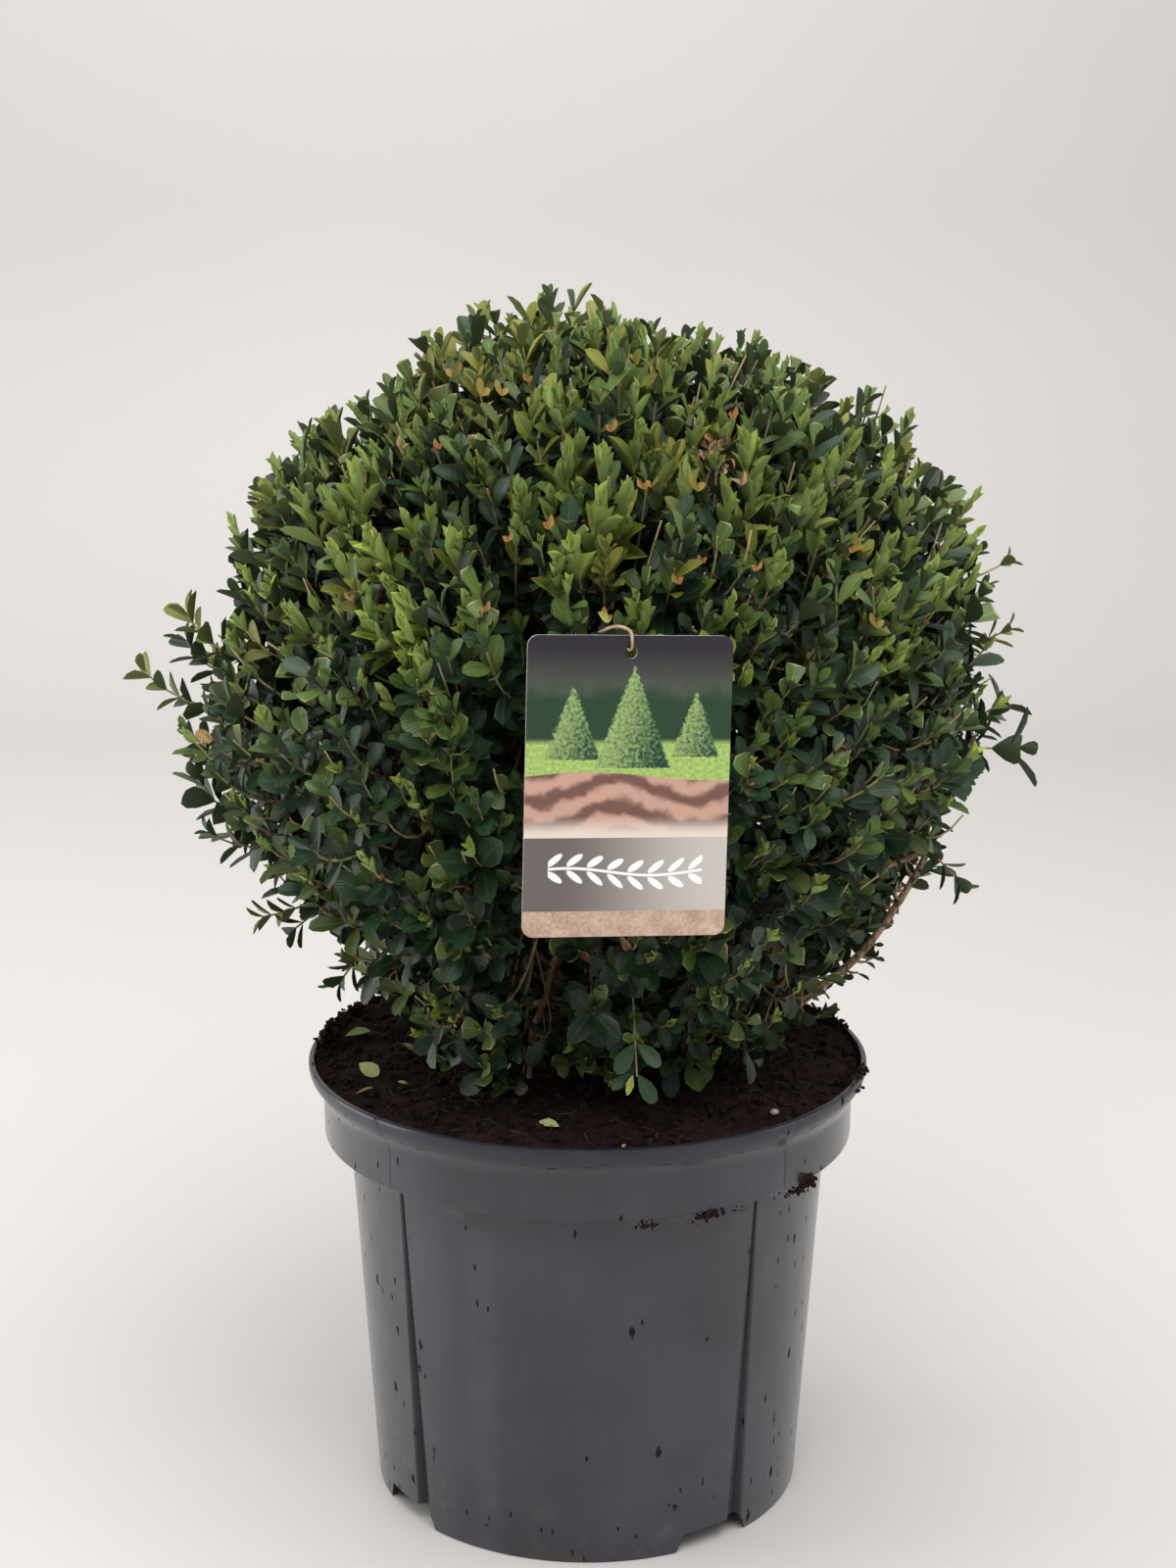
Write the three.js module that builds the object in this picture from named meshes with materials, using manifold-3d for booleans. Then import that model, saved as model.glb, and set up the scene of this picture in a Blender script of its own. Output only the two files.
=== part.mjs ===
// A box shrub clipped to a ball, growing in a round grey nursery pot, with a printed tag hooked on its front.
// Lengths are millimetres, +Z is up, and the front of the plant faces -Y.
// The origin is on the ground under the middle of the pot.
import * as THREE from "three";
import { mergeVertices } from "three/addons/utils/BufferGeometryUtils.js";
import Module from "manifold-3d";

const wasm = await Module();
wasm.setup();

// The pot: a thin moulded wall with a stacking band and a lip at the top, four flutes and four feet.
const POT_HEIGHT = 196;
const LIP_RADIUS = 122.5;
const LIP_HEIGHT = 8;
const LIP_WALL = 2.6;
const BAND_RADIUS = 116;
const BAND_BOTTOM = 162;
const BODY_TOP_RADIUS = 105;
const FOOT_RADIUS = 94.5;
const WALL = 2;
const FLOOR_LIFT = 9.5;
const POT_SIDES = 48;
const FLUTE_COUNT = 4;
const FLUTE_TURN = THREE.MathUtils.degToRad(42);
const FLUTE_FOOT = { width: 9, depth: 3.2 };
const FLUTE_TOP = { width: 3, depth: 1 };
const NOTCH_HEIGHT = 8.5;
const NOTCH_WIDTH = 38;
const NOTCH_TURN = THREE.MathUtils.degToRad(-7);
const DRAIN_RADIUS = 6;
const DRAIN_RING = 58;
const DRAIN_COUNT = 6;

// The fill of potting soil, a little below the lip and heaped where it was pushed up against it.
const SOIL_LEVEL = 189;
const SOIL_MOUND = 4;
const SOIL_HEAP = 6;
const SOIL_RINGS = [16, 46, 74, 96, 110];
const SOIL_EDGE = 102;
const SEAT_GAP = 0.3;
const SMALLEST_EDGE = 0.04;

// The clipped ball: two half ellipsoids that meet at its widest level.
const BALL_CENTRE = new THREE.Vector3(6, 0, 375);
const BALL_RADIUS = 160;
const BALL_RISE = 140;
const BALL_DROP = 205;
const BALL_SIDES = 18;
const LUMP_SHARE = 0.022;
const SKEW_SHARE = 0.07;
const CORE_SHARE = 0.86;
const CORE_FLOOR = 202;
const CORE_CLEARANCE = 0.5;
const BARE_INSIDE = [[40, 190], [52, 250], [68, 320], [66, 380], [46, 420], [20, 436]];
const TOP_HALF_ANGLE = THREE.MathUtils.degToRad(41);

// The rule for twigs and leaves. Leaves are larger than life and fewer, so that the ball reads as full.
const SEED = 77;
const SPRAY_COUNT = 88;
const LOWEST_SPRAY = -0.97;
const LIFT_OF_GROWTH = 0.42;
const TWIG_REACH = 0.915;
const TWIG_ROOT_RADIUS = 2.5;
const TWIG_TIP_RADIUS = 1.4;
const TWIG_SINK = 7;
const LEAF_LENGTH = 38;
const LEAF_WIDTH = 19.5;
const LEAF_WIDEST = 0.57;
const LEAF_LEAN = { low: 74, high: 48, tip: 32 };
const STRAY_LEAF = { length: 27, lean: 8 };
const LEAF_THICKNESS = 1.7;
const LEAF_SINK = 0.6;
const SPACE_MARGIN = 1.2;
const LIMB_MARGIN = 1.5;
const SOIL_MARGIN = 2;
const REACH_LIMIT = 193;
const TOP_LIMIT = 528;

// The printed tag, leaning on the front of the ball and hung by its hole on a hooked twig.
const TAG = { width: 75, height: 110, thickness: 0.9, corner: 4, holeRadius: 2.4, holeDrop: 6 };
const TAG_CENTRE = new THREE.Vector3(14, -173, 355.5);
const TAG_YAW = THREE.MathUtils.degToRad(10);
const TAG_PITCH = THREE.MathUtils.degToRad(-3.6);
const TAG_ROLL = THREE.MathUtils.degToRad(1.9);
const TAG_MARGIN = 3;
const HOOK_RADIUS = 0.9;
const HOOK_SLACK = 0.7;

const COLOURS = {
  pot: { color: 0x565b60, roughness: 0.45 },
  soil: { color: 0x2a1a14, roughness: 0.95 },
  bark: { color: 0x7a6148, roughness: 0.85 },
  foliage: { color: 0x3f6433, roughness: 0.5 },
  tag: { color: 0x8c7f70, roughness: 0.3 },
};

// A number from 0 to 1 that is the same every run, from a seed.
function seededRandom(seed) {
  let state = seed >>> 0;
  return () => {
    state = (state + 0x6d2b79f5) >>> 0;
    let mixed = Math.imul(state ^ (state >>> 15), 1 | state);
    mixed = (mixed + Math.imul(mixed ^ (mixed >>> 7), 61 | mixed)) ^ mixed;
    return ((mixed ^ (mixed >>> 14)) >>> 0) / 4294967296;
  };
}

// A solid from its corners and the corner numbers of its faces, moved to its place.
function facetedSolid(corners, faces, matrix) {
  const geometry = new THREE.BufferGeometry();
  geometry.setAttribute("position", new THREE.Float32BufferAttribute(corners.flat(), 3));
  geometry.setIndex(faces);
  if (matrix) geometry.applyMatrix4(matrix);
  return solidOf(geometry);
}

// Closed three.js geometry as a solid that can be cut and joined.
function solidOf(geometry) {
  const bare = geometry.clone();
  for (const name of Object.keys(bare.attributes)) {
    if (name !== "position") bare.deleteAttribute(name);
  }
  const merged = mergeVertices(bare, 1e-4);
  const mesh = new wasm.Mesh({
    numProp: 3,
    vertProperties: new Float32Array(merged.attributes.position.array),
    triVerts: new Uint32Array(merged.index.array),
  });
  return new wasm.Manifold(mesh);
}

// A solid as geometry for a mesh, without slivers finer than the smallest edge that matters.
// Only its largest body is kept, so a sealed hollow fills and a scrap goes.
function geometryOf(solid) {
  const bodies = solid.simplify(SMALLEST_EDGE).decompose().sort((a, b) => b.volume() - a.volume());
  const mesh = bodies[0].getMesh();
  const geometry = new THREE.BufferGeometry();
  geometry.setAttribute("position", new THREE.BufferAttribute(mesh.vertProperties, 3));
  geometry.setIndex(new THREE.BufferAttribute(mesh.triVerts, 1));
  geometry.computeVertexNormals();
  return geometry;
}

function namedMesh(name, geometry, colour) {
  const material = new THREE.MeshStandardMaterial({ ...COLOURS[colour], metalness: 0, flatShading: true });
  const mesh = new THREE.Mesh(geometry, material);
  mesh.name = name;
  return mesh;
}

// A profile of [radius, height] points, from the axis back to the axis, turned round +Z.
function turned(profile, sides = POT_SIDES) {
  const points = profile.map(([radius, height]) => new THREE.Vector2(radius, height));
  const geometry = new THREE.LatheGeometry(points, sides);
  geometry.rotateX(Math.PI / 2);
  return solidOf(geometry);
}

function prism(outline, depth) {
  const shape = new THREE.Shape(outline.map(([x, y]) => new THREE.Vector2(x, y)));
  return new THREE.ExtrudeGeometry(shape, { depth, bevelEnabled: false });
}

// One flute: a wedge that runs down the wall and grows wider and deeper towards the foot.
// The allowance widens it, for the inside of the wall and for the soil behind it.
function fluteCutter(turn, allowance) {
  const proud = 4;
  const corners = [];
  const levels = [
    { z: -1, radius: FOOT_RADIUS, ...FLUTE_FOOT },
    { z: BAND_BOTTOM + 0.5, radius: BODY_TOP_RADIUS, ...FLUTE_TOP },
  ];
  for (const level of levels) {
    const half = level.width / 2 + allowance;
    const inside = level.radius - level.depth - allowance;
    corners.push([inside, half * 0.5, level.z], [inside, -half * 0.5, level.z]);
    corners.push([level.radius + proud, -half * 1.6, level.z], [level.radius + proud, half * 1.6, level.z]);
  }
  const faces = [0, 2, 1, 0, 3, 2, 4, 5, 6, 4, 6, 7];
  for (let i = 0; i < 4; i += 1) {
    const next = (i + 1) % 4;
    faces.push(i, next, next + 4, i, next + 4, i + 4);
  }
  return facetedSolid(corners, faces, new THREE.Matrix4().makeRotationZ(turn));
}

function fluteTurns() {
  return Array.from({ length: FLUTE_COUNT }, (_, i) => FLUTE_TURN + (i * 2 * Math.PI) / FLUTE_COUNT);
}

// A flat-topped gap in the foot beside each flute, where water drains away.
function notchCutter(turn) {
  const half = NOTCH_WIDTH / 2;
  const slant = 4;
  const outline = [
    [-half, -1],
    [half, -1],
    [half - slant, NOTCH_HEIGHT],
    [slant - half, NOTCH_HEIGHT],
  ];
  const geometry = prism(outline, 40);
  geometry.rotateX(Math.PI / 2);
  geometry.translate(0, -FOOT_RADIUS + 28, 0);
  geometry.rotateZ(turn + Math.PI / 2);
  return solidOf(geometry);
}

function wallRadius(height) {
  return THREE.MathUtils.lerp(FOOT_RADIUS, BODY_TOP_RADIUS, height / BAND_BOTTOM);
}

// The inside of the wall, made smaller by an allowance: what the soil fills.
function potInside(bottom, top, allowance) {
  const lipInside = LIP_RADIUS - LIP_WALL - allowance;
  const bandInside = BAND_RADIUS - WALL - allowance;
  const bodyInside = (height) => wallRadius(height) - WALL - allowance;
  const step = POT_HEIGHT - LIP_HEIGHT;
  return [
    [0, bottom],
    [bodyInside(bottom), bottom],
    [bodyInside(BAND_BOTTOM), BAND_BOTTOM + allowance],
    [bandInside, BAND_BOTTOM + WALL + 2 + allowance],
    [bandInside, step],
    [lipInside, step + LIP_WALL + allowance],
    [lipInside, top],
    [0, top],
  ];
}

function makePot() {
  const step = POT_HEIGHT - LIP_HEIGHT;
  const outside = turned([
    [0, 0],
    [FOOT_RADIUS - 0.5, 0],
    [FOOT_RADIUS, 0.5],
    [BODY_TOP_RADIUS, BAND_BOTTOM],
    [BAND_RADIUS, BAND_BOTTOM + 1.5],
    [BAND_RADIUS, step],
    [LIP_RADIUS, step + 1],
    [LIP_RADIUS, POT_HEIGHT - 1],
    [LIP_RADIUS - 1, POT_HEIGHT],
    [0, POT_HEIGHT],
  ]);
  const fluted = fluteTurns().map((turn) => fluteCutter(turn, 0));
  const behindFlutes = fluteTurns().map((turn) => fluteCutter(turn, WALL));
  const inside = turned(potInside(FLOOR_LIFT + WALL, POT_HEIGHT + 1, 0));
  const underside = turned([
    [0, -1],
    [FOOT_RADIUS - WALL, -1],
    [FOOT_RADIUS - WALL, FLOOR_LIFT],
    [0, FLOOR_LIFT],
  ]);
  const hollow = wasm.Manifold.union([inside, underside]).subtract(wasm.Manifold.union(behindFlutes));
  const notches = fluteTurns().map((turn) => notchCutter(turn + NOTCH_TURN));
  const drains = Array.from({ length: DRAIN_COUNT }, (_, i) => {
    const hole = new THREE.CylinderGeometry(DRAIN_RADIUS, DRAIN_RADIUS, 3 * WALL, 8);
    hole.rotateX(Math.PI / 2);
    const angle = (i * 2 * Math.PI) / DRAIN_COUNT;
    hole.translate(DRAIN_RING * Math.cos(angle), DRAIN_RING * Math.sin(angle), FLOOR_LIFT + WALL / 2);
    return solidOf(hole);
  });
  const cuts = wasm.Manifold.union([...fluted, hollow, ...notches, ...drains]);
  return namedMesh("pot", geometryOf(outside.subtract(cuts)), "pot");
}

// Height of the soil's surface. It is flat at the stem's foot, uneven outwards, and heaped at two sides.
function soilHeight(x, y) {
  const radius = Math.hypot(x, y);
  const share = Math.min(radius / (LIP_RADIUS - LIP_WALL), 1);
  const angle = Math.atan2(y, x);
  const away = THREE.MathUtils.smoothstep(radius, SOIL_RINGS[0], SOIL_RINGS[1]);
  const uneven = away * (1.1 * Math.sin(x / 13 + 1) * Math.cos(y / 11) + 0.8 * Math.sin((x + y) / 7));
  const heapLeft = Math.max(0, Math.cos(angle - THREE.MathUtils.degToRad(150))) ** 2;
  const heapRight = Math.max(0, Math.cos(angle - THREE.MathUtils.degToRad(12))) ** 6;
  const heap = SOIL_HEAP * share ** 5 * Math.max(heapLeft, 0.7 * heapRight);
  return SOIL_LEVEL + SOIL_MOUND * (1 - share * share) + uneven + heap;
}

// A disc whose top follows the soil's height, cut to what fits inside the pot.
function makeSoil() {
  const reach = LIP_RADIUS + 2;
  const rings = [...SOIL_RINGS, reach];
  const bottom = FLOOR_LIFT;
  const corners = [[0, 0, soilHeight(0, 0)]];
  for (const radius of rings) {
    for (let i = 0; i < POT_SIDES; i += 1) {
      const angle = (i * 2 * Math.PI) / POT_SIDES;
      const x = radius * Math.cos(angle);
      const y = radius * Math.sin(angle);
      corners.push([x, y, soilHeight(x, y)]);
    }
  }
  for (let i = 0; i < POT_SIDES; i += 1) {
    const angle = (i * 2 * Math.PI) / POT_SIDES;
    corners.push([reach * Math.cos(angle), reach * Math.sin(angle), bottom]);
  }
  corners.push([0, 0, bottom]);
  const faces = [];
  const last = corners.length - 1;
  const levels = rings.length + 1;
  for (let i = 0; i < POT_SIDES; i += 1) {
    const next = (i + 1) % POT_SIDES;
    faces.push(0, 1 + i, 1 + next);
    for (let ring = 0; ring + 1 < levels; ring += 1) {
      const near = 1 + ring * POT_SIDES;
      const far = near + POT_SIDES;
      faces.push(near + i, far + i, far + next, near + i, far + next, near + next);
    }
    const rim = 1 + (levels - 1) * POT_SIDES;
    faces.push(last, rim + next, rim + i);
  }
  const room = turned(potInside(FLOOR_LIFT + WALL + SEAT_GAP, POT_HEIGHT + 20, SEAT_GAP));
  const flutes = wasm.Manifold.union(fluteTurns().map((turn) => fluteCutter(turn, WALL + SEAT_GAP)));
  return namedMesh("soil", geometryOf(facetedSolid(corners, faces).intersect(room).subtract(flutes)), "soil");
}

// The stem and the boughs: the points each one passes through, and its radius at the foot and at the tip.
// A bough's last points, after its tip, are those of the short stem that carries it on into its mass.
const STEM_FOOT = soilHeight(0, 0) + SEAT_GAP;
const STEM = {
  route: [[2, 0, STEM_FOOT], [3, 1, STEM_FOOT + 16], [6, 2, STEM_FOOT + 38]],
  radii: [7.5, 5.5],
};
const FLARE_RADIUS = 12;
const BOUGHS = [
  {
    name: "bough_right",
    mass: "foliage_right",
    route: [[11.5, -4, 205], [45, -8, 203], [82, -6, 211], [116, -3, 235], [139, -1, 264], [150, 0, 288]],
    radii: [2.9, 2.0],
    into: [[149, 0, 300], [135, 0, 322], [112, 0, 345]],
  },
  {
    name: "bough_front",
    mass: "foliage_front",
    route: [[-28, -5, soilHeight(-28, -5) + 2 * SEAT_GAP], [-23, -8, 212], [-14, -14, 236], [4, -42, 270]],
    radii: [2.3, 1.8],
    into: [[7, -52, 286], [10, -80, 312], [10, -105, 336]],
  },
  {
    name: "bough_left",
    mass: "foliage_left",
    route: [[-2.5, 2, 220], [-22, -2, 238], [-44, -6, 264], [-58, -8, 292]],
    radii: [3.2, 2.1],
    into: [[-64, -10, 306], [-82, -14, 330], [-106, -16, 352]],
  },
  {
    name: "bough_back",
    mass: "foliage_back",
    route: [[7.5, 9, 224], [10, 24, 242], [9, 42, 266], [6, 54, 292]],
    radii: [3.2, 2.1],
    into: [[4, 60, 306], [2, 80, 332], [0, 104, 356]],
  },
  {
    name: "bough_top",
    mass: "foliage_top",
    route: [[7, 2, STEM_FOOT + 38.6], [10, 0, 262], [5, -4, 318], [4, -1, 384], [5, 0, 424]],
    radii: [4.6, 2.4],
    into: [[5, 0, 425], [5, 0, 445], [6, 0, 470]],
  },
];

// The masses: four sectors of the ball, by their angles round the stem from +X, and a cap on top.
const MASSES = [
  { name: "foliage_right", from: -48, to: 38 },
  { name: "foliage_back", from: 38, to: 150 },
  { name: "foliage_left", from: 150, to: 258 },
  { name: "foliage_front", from: 258, to: 312 },
  { name: "foliage_top", cap: true },
];

// Shoots that outgrew the clipping: the angle round the stem, and how far out and how high the tip is.
const STRAY_SHOOTS = [
  { turn: 180, out: 193, height: 373 },
  { turn: 192, out: 166, height: 300 },
  { turn: 355, out: 192, height: 334 },
  { turn: 8, out: 187, height: 411 },
  { turn: 84, out: 189, height: 352 },
  { turn: 118, out: 182, height: 398 },
  { turn: 232, out: 178, height: 322 },
];

function limbCurve(route) {
  return new THREE.CatmullRomCurve3(route.map((point) => new THREE.Vector3(...point)), false, "centripetal");
}

// A limb along a smooth curve through its points, tapering from foot to tip, with flat ends.
function limbSolid(route, radii, steps, sides) {
  const curve = limbCurve(route);
  const frames = curve.computeFrenetFrames(steps, false);
  const corners = [];
  for (let i = 0; i <= steps; i += 1) {
    const share = i / steps;
    const middle = curve.getPointAt(share);
    const radius = THREE.MathUtils.lerp(radii[0], radii[1], share);
    for (let j = 0; j < sides; j += 1) {
      const angle = (j * 2 * Math.PI) / sides;
      const corner = middle.clone();
      corner.addScaledVector(frames.normals[i], radius * Math.cos(angle));
      corner.addScaledVector(frames.binormals[i], radius * Math.sin(angle));
      corners.push(corner.toArray());
    }
  }
  corners.push(curve.getPointAt(0).toArray(), curve.getPointAt(1).toArray());
  const faces = [];
  const foot = corners.length - 2;
  const tip = corners.length - 1;
  const lastRing = steps * sides;
  for (let j = 0; j < sides; j += 1) {
    const next = (j + 1) % sides;
    for (let i = 0; i < steps; i += 1) {
      const near = i * sides;
      const far = near + sides;
      faces.push(near + j, near + next, far + next, near + j, far + next, far + j);
    }
    faces.push(foot, next, j);
    faces.push(tip, lastRing + j, lastRing + next);
  }
  return facetedSolid(corners, faces);
}

function swollen(radii, allowance) {
  return radii.map((radius) => radius + allowance);
}

// The stem, with a flare at its foot that is cut flat at the soil's surface. The allowance swells it.
function stemSolid(allowance) {
  const stem = limbSolid(STEM.route, swollen(STEM.radii, allowance), 5, 8);
  const flare = new THREE.CylinderGeometry(STEM.radii[0] - 1 + allowance, FLARE_RADIUS + allowance, 10, 8);
  flare.rotateX(Math.PI / 2);
  flare.translate(STEM.route[0][0], STEM.route[0][1], STEM_FOOT + 5);
  const above = new THREE.BoxGeometry(400, 400, 400);
  above.translate(0, 0, STEM_FOOT + 200);
  return stem.add(solidOf(flare)).intersect(solidOf(above));
}

function boughSolid(bough, allowance) {
  return limbSolid(bough.route, swollen(bough.radii, allowance), 9, 6);
}

// Slow swellings of a hand-clipped surface, as a share of its reach. It is fuller high on the right side.
function lumps(direction) {
  const across = Math.sin(4.1 * direction.x + 1.3) * Math.cos(3.7 * direction.z - 0.4);
  const round = Math.sin(5.3 * direction.y - 0.8) * Math.sin(4.6 * direction.x + 2.1 * direction.z);
  return LUMP_SHARE * (across + round) + SKEW_SHARE * direction.x * direction.z;
}

// How far the clipped surface is from the ball's centre, in a unit direction.
function clippedReach(direction) {
  const height = direction.z > 0 ? BALL_RISE : BALL_DROP;
  const flat = Math.hypot(direction.x, direction.y) / BALL_RADIUS;
  return (1 + lumps(direction)) / Math.hypot(flat, direction.z / height);
}

function surfacePoint(direction, share) {
  return direction.clone().multiplyScalar(share * clippedReach(direction)).add(BALL_CENTRE);
}

function ballSolid(share) {
  const geometry = new THREE.SphereGeometry(1, BALL_SIDES, 12);
  geometry.rotateX(Math.PI / 2);
  const corners = geometry.attributes.position;
  const direction = new THREE.Vector3();
  for (let i = 0; i < corners.count; i += 1) {
    direction.fromBufferAttribute(corners, i).normalize();
    corners.setXYZ(i, ...surfacePoint(direction, share).toArray());
  }
  return solidOf(geometry);
}

// Signed distances of a point to the walls of a mass's space, in millimetres. All are positive inside it.
function wallDistances(mass, point) {
  const x = point.x - BALL_CENTRE.x;
  const y = point.y - BALL_CENTRE.y;
  const z = point.z - BALL_CENTRE.z;
  const outsideCap = Math.hypot(x, y) * Math.cos(TOP_HALF_ANGLE) - z * Math.sin(TOP_HALF_ANGLE);
  if (mass.cap) return [-outsideCap];
  const from = THREE.MathUtils.degToRad(mass.from);
  const to = THREE.MathUtils.degToRad(mass.to);
  return [outsideCap, y * Math.cos(from) - x * Math.sin(from), x * Math.sin(to) - y * Math.cos(to)];
}

function inSpace(mass, point, margin) {
  return wallDistances(mass, point).every((distance) => distance > margin);
}

function capCutter(shift) {
  const height = 400;
  const cone = new THREE.ConeGeometry(height * Math.tan(TOP_HALF_ANGLE), height, 28);
  cone.rotateX(-Math.PI / 2);
  cone.translate(BALL_CENTRE.x, BALL_CENTRE.y, BALL_CENTRE.z + height / 2 + shift / Math.sin(TOP_HALF_ANGLE));
  return solidOf(cone);
}

function sectorCutter(mass) {
  const from = THREE.MathUtils.degToRad(mass.from);
  const to = THREE.MathUtils.degToRad(mass.to);
  const middle = (from + to) / 2;
  const shift = CORE_CLEARANCE / Math.sin((to - from) / 2);
  const apex = [BALL_CENTRE.x + shift * Math.cos(middle), BALL_CENTRE.y + shift * Math.sin(middle)];
  const reach = 900;
  const far = [from, middle, to].map((angle) => [
    apex[0] + reach * Math.cos(angle),
    apex[1] + reach * Math.sin(angle),
  ]);
  return solidOf(prism([apex, ...far], 800));
}

// Sample points down the middle of every limb, for keeping twigs and leaves off it.
const LIMB_SAMPLES = [STEM, ...BOUGHS].flatMap(({ route, radii }) => {
  const curve = limbCurve(route);
  const count = Math.ceil(curve.getLength() / 3);
  return Array.from({ length: count + 1 }, (_, i) => {
    const share = i / count;
    return { at: curve.getPointAt(share), radius: THREE.MathUtils.lerp(radii[0], radii[1], share) };
  });
});

function tagMatrix() {
  const turn = new THREE.Matrix4().makeRotationZ(TAG_YAW);
  turn.multiply(new THREE.Matrix4().makeRotationX(TAG_PITCH));
  turn.multiply(new THREE.Matrix4().makeRotationY(TAG_ROLL));
  return turn.setPosition(TAG_CENTRE);
}

const TO_TAG = tagMatrix().invert();

// True where a point is in front of the tag's back, or too close behind it.
function nearTag(point) {
  const local = point.clone().applyMatrix4(TO_TAG);
  const across = Math.abs(local.x) < TAG.width / 2 + TAG_MARGIN;
  const upright = Math.abs(local.z) < TAG.height / 2 + TAG_MARGIN;
  return across && upright && local.y < TAG_MARGIN;
}

function isFree(mass, point) {
  const flat = Math.hypot(point.x, point.y);
  if (!inSpace(mass, point, SPACE_MARGIN)) return false;
  if (point.z > TOP_LIMIT || Math.abs(point.x) > REACH_LIMIT || Math.abs(point.y) > REACH_LIMIT) return false;
  if (point.z < soilHeight(point.x, point.y) + SOIL_MARGIN) return false;
  if (point.z < POT_HEIGHT + SOIL_MARGIN && flat > SOIL_EDGE) return false;
  if (nearTag(point)) return false;
  return LIMB_SAMPLES.every((limb) => limb.at.distanceTo(point) > limb.radius + LIMB_MARGIN);
}

// A frame with its X along one direction and its Z as near as it can be to another.
function frameAlong(along, facing, at) {
  const x = along.clone().normalize();
  const y = facing.clone().cross(x).normalize();
  const z = x.clone().cross(y);
  return new THREE.Matrix4().makeBasis(x, y, z).setPosition(at);
}

// A keeled leaf from its foot along a direction, with its upper face turned to another.
function leafSolid(mass, foot, along, facing, length) {
  const width = LEAF_WIDTH * (length / LEAF_LENGTH);
  const matrix = frameAlong(along, facing, foot);
  const place = ([share, side]) => new THREE.Vector3(share * length, side * width, 0).applyMatrix4(matrix);
  const inside = [[0, 0], [0.2, 0.2], [0.2, -0.2]].every((spot) => inSpace(mass, place(spot), SPACE_MARGIN));
  const spots = [[0.4, 0], [0.5, 0.5], [0.5, -0.5], [0.75, 0.25], [0.75, -0.25], [1, 0]];
  if (!inside || !spots.every((spot) => isFree(mass, place(spot)))) return null;
  const middle = LEAF_WIDEST * length;
  const rim = [[length, 0, 0], [middle, width / 2, 0], [-LEAF_SINK, 0, 0], [middle, -width / 2, 0]];
  const corners = [...rim, [middle, 0, LEAF_THICKNESS]];
  const faces = [0, 1, 4, 1, 2, 4, 2, 3, 4, 3, 0, 4, 0, 3, 2, 0, 2, 1];
  return facetedSolid(corners, faces, matrix);
}

// The leaf at its full size, or else at a smaller one that keeps to its space.
function largestLeaf(mass, foot, along, facing, length) {
  for (const share of [1, 0.8, 0.6]) {
    const leaf = leafSolid(mass, foot, along, facing, share * length);
    if (leaf) return leaf;
  }
  return null;
}

function twigIsClear(mass, from, to) {
  const spot = (share) => from.clone().lerp(to, share);
  const inside = [0, 0.2].every((share) => inSpace(mass, spot(share), SPACE_MARGIN + TWIG_ROOT_RADIUS));
  return inside && [0.35, 0.55, 0.75, 1].every((share) => isFree(mass, spot(share)));
}

// A three-sided twig from one point to another.
function twigSolid(from, to) {
  const length = from.distanceTo(to);
  const corners = [];
  for (const [x, radius] of [[0, TWIG_ROOT_RADIUS], [length, TWIG_TIP_RADIUS]]) {
    for (const angle of [0, 120, 240].map(THREE.MathUtils.degToRad)) {
      corners.push([x, radius * Math.cos(angle), radius * Math.sin(angle)]);
    }
  }
  const faces = [0, 2, 1, 3, 4, 5, 0, 1, 4, 0, 4, 3, 1, 2, 5, 1, 5, 4, 2, 0, 3, 2, 3, 5];
  return facetedSolid(corners, faces, frameAlong(to.clone().sub(from), new THREE.Vector3(0.13, 0.31, 1), from));
}

// Leaves in opposite pairs up a twig, each pair crossing the one below, and one leaf at the tip.
function leavesOn(mass, from, to, pairs, size, tipLean, random) {
  const axis = to.clone().sub(from).normalize();
  const side = new THREE.Vector3(0.2, 0.1, 1).cross(axis).normalize();
  const start = random() * Math.PI;
  const leaves = [];
  for (let pair = 0; pair < pairs; pair += 1) {
    const share = THREE.MathUtils.lerp(0.62, 0.94, pair / (pairs - 1));
    const steepest = THREE.MathUtils.lerp(LEAF_LEAN.low, LEAF_LEAN.high, pair / pairs);
    const lean = THREE.MathUtils.degToRad(steepest - 8 * random());
    for (const half of [0, 1]) {
      const out = side.clone().applyAxisAngle(axis, start + (pair * Math.PI) / 2 + half * Math.PI);
      const along = axis.clone().multiplyScalar(Math.cos(lean)).addScaledVector(out, Math.sin(lean));
      const facing = axis.clone().multiplyScalar(Math.sin(lean)).addScaledVector(out, -Math.cos(lean));
      const foot = from.clone().lerp(to, share);
      leaves.push(largestLeaf(mass, foot, along, facing, size * (0.85 + 0.3 * random())));
    }
  }
  const lean = Math.tan(THREE.MathUtils.degToRad(tipLean));
  const tipWay = side.clone().applyAxisAngle(axis, random() * 2 * Math.PI).multiplyScalar(lean).add(axis);
  leaves.push(largestLeaf(mass, from.clone().lerp(to, 0.95), tipWay, side, 0.8 * size));
  return leaves;
}

// The way a shoot grows from the surface: outwards, and bent up towards the light. Low shoots lie level.
function growth(direction) {
  const lift = LIFT_OF_GROWTH * (1 - direction.z ** 2);
  const rise = direction.z * (direction.z < 0 ? 0.35 : 1);
  return new THREE.Vector3(direction.x, direction.y, rise + lift).normalize();
}

// Even directions all round the ball, each with the random numbers that its spray uses.
function sprayDirections() {
  const golden = Math.PI * (3 - Math.sqrt(5));
  return Array.from({ length: SPRAY_COUNT }, (_, i) => {
    const z = 1 - ((i + 0.5) / SPRAY_COUNT) * (1 - LOWEST_SPRAY);
    const flat = Math.sqrt(1 - z * z);
    const random = seededRandom(SEED + 97 * i);
    return { direction: new THREE.Vector3(flat * Math.cos(golden * i), flat * Math.sin(golden * i), z), random };
  });
}

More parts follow.
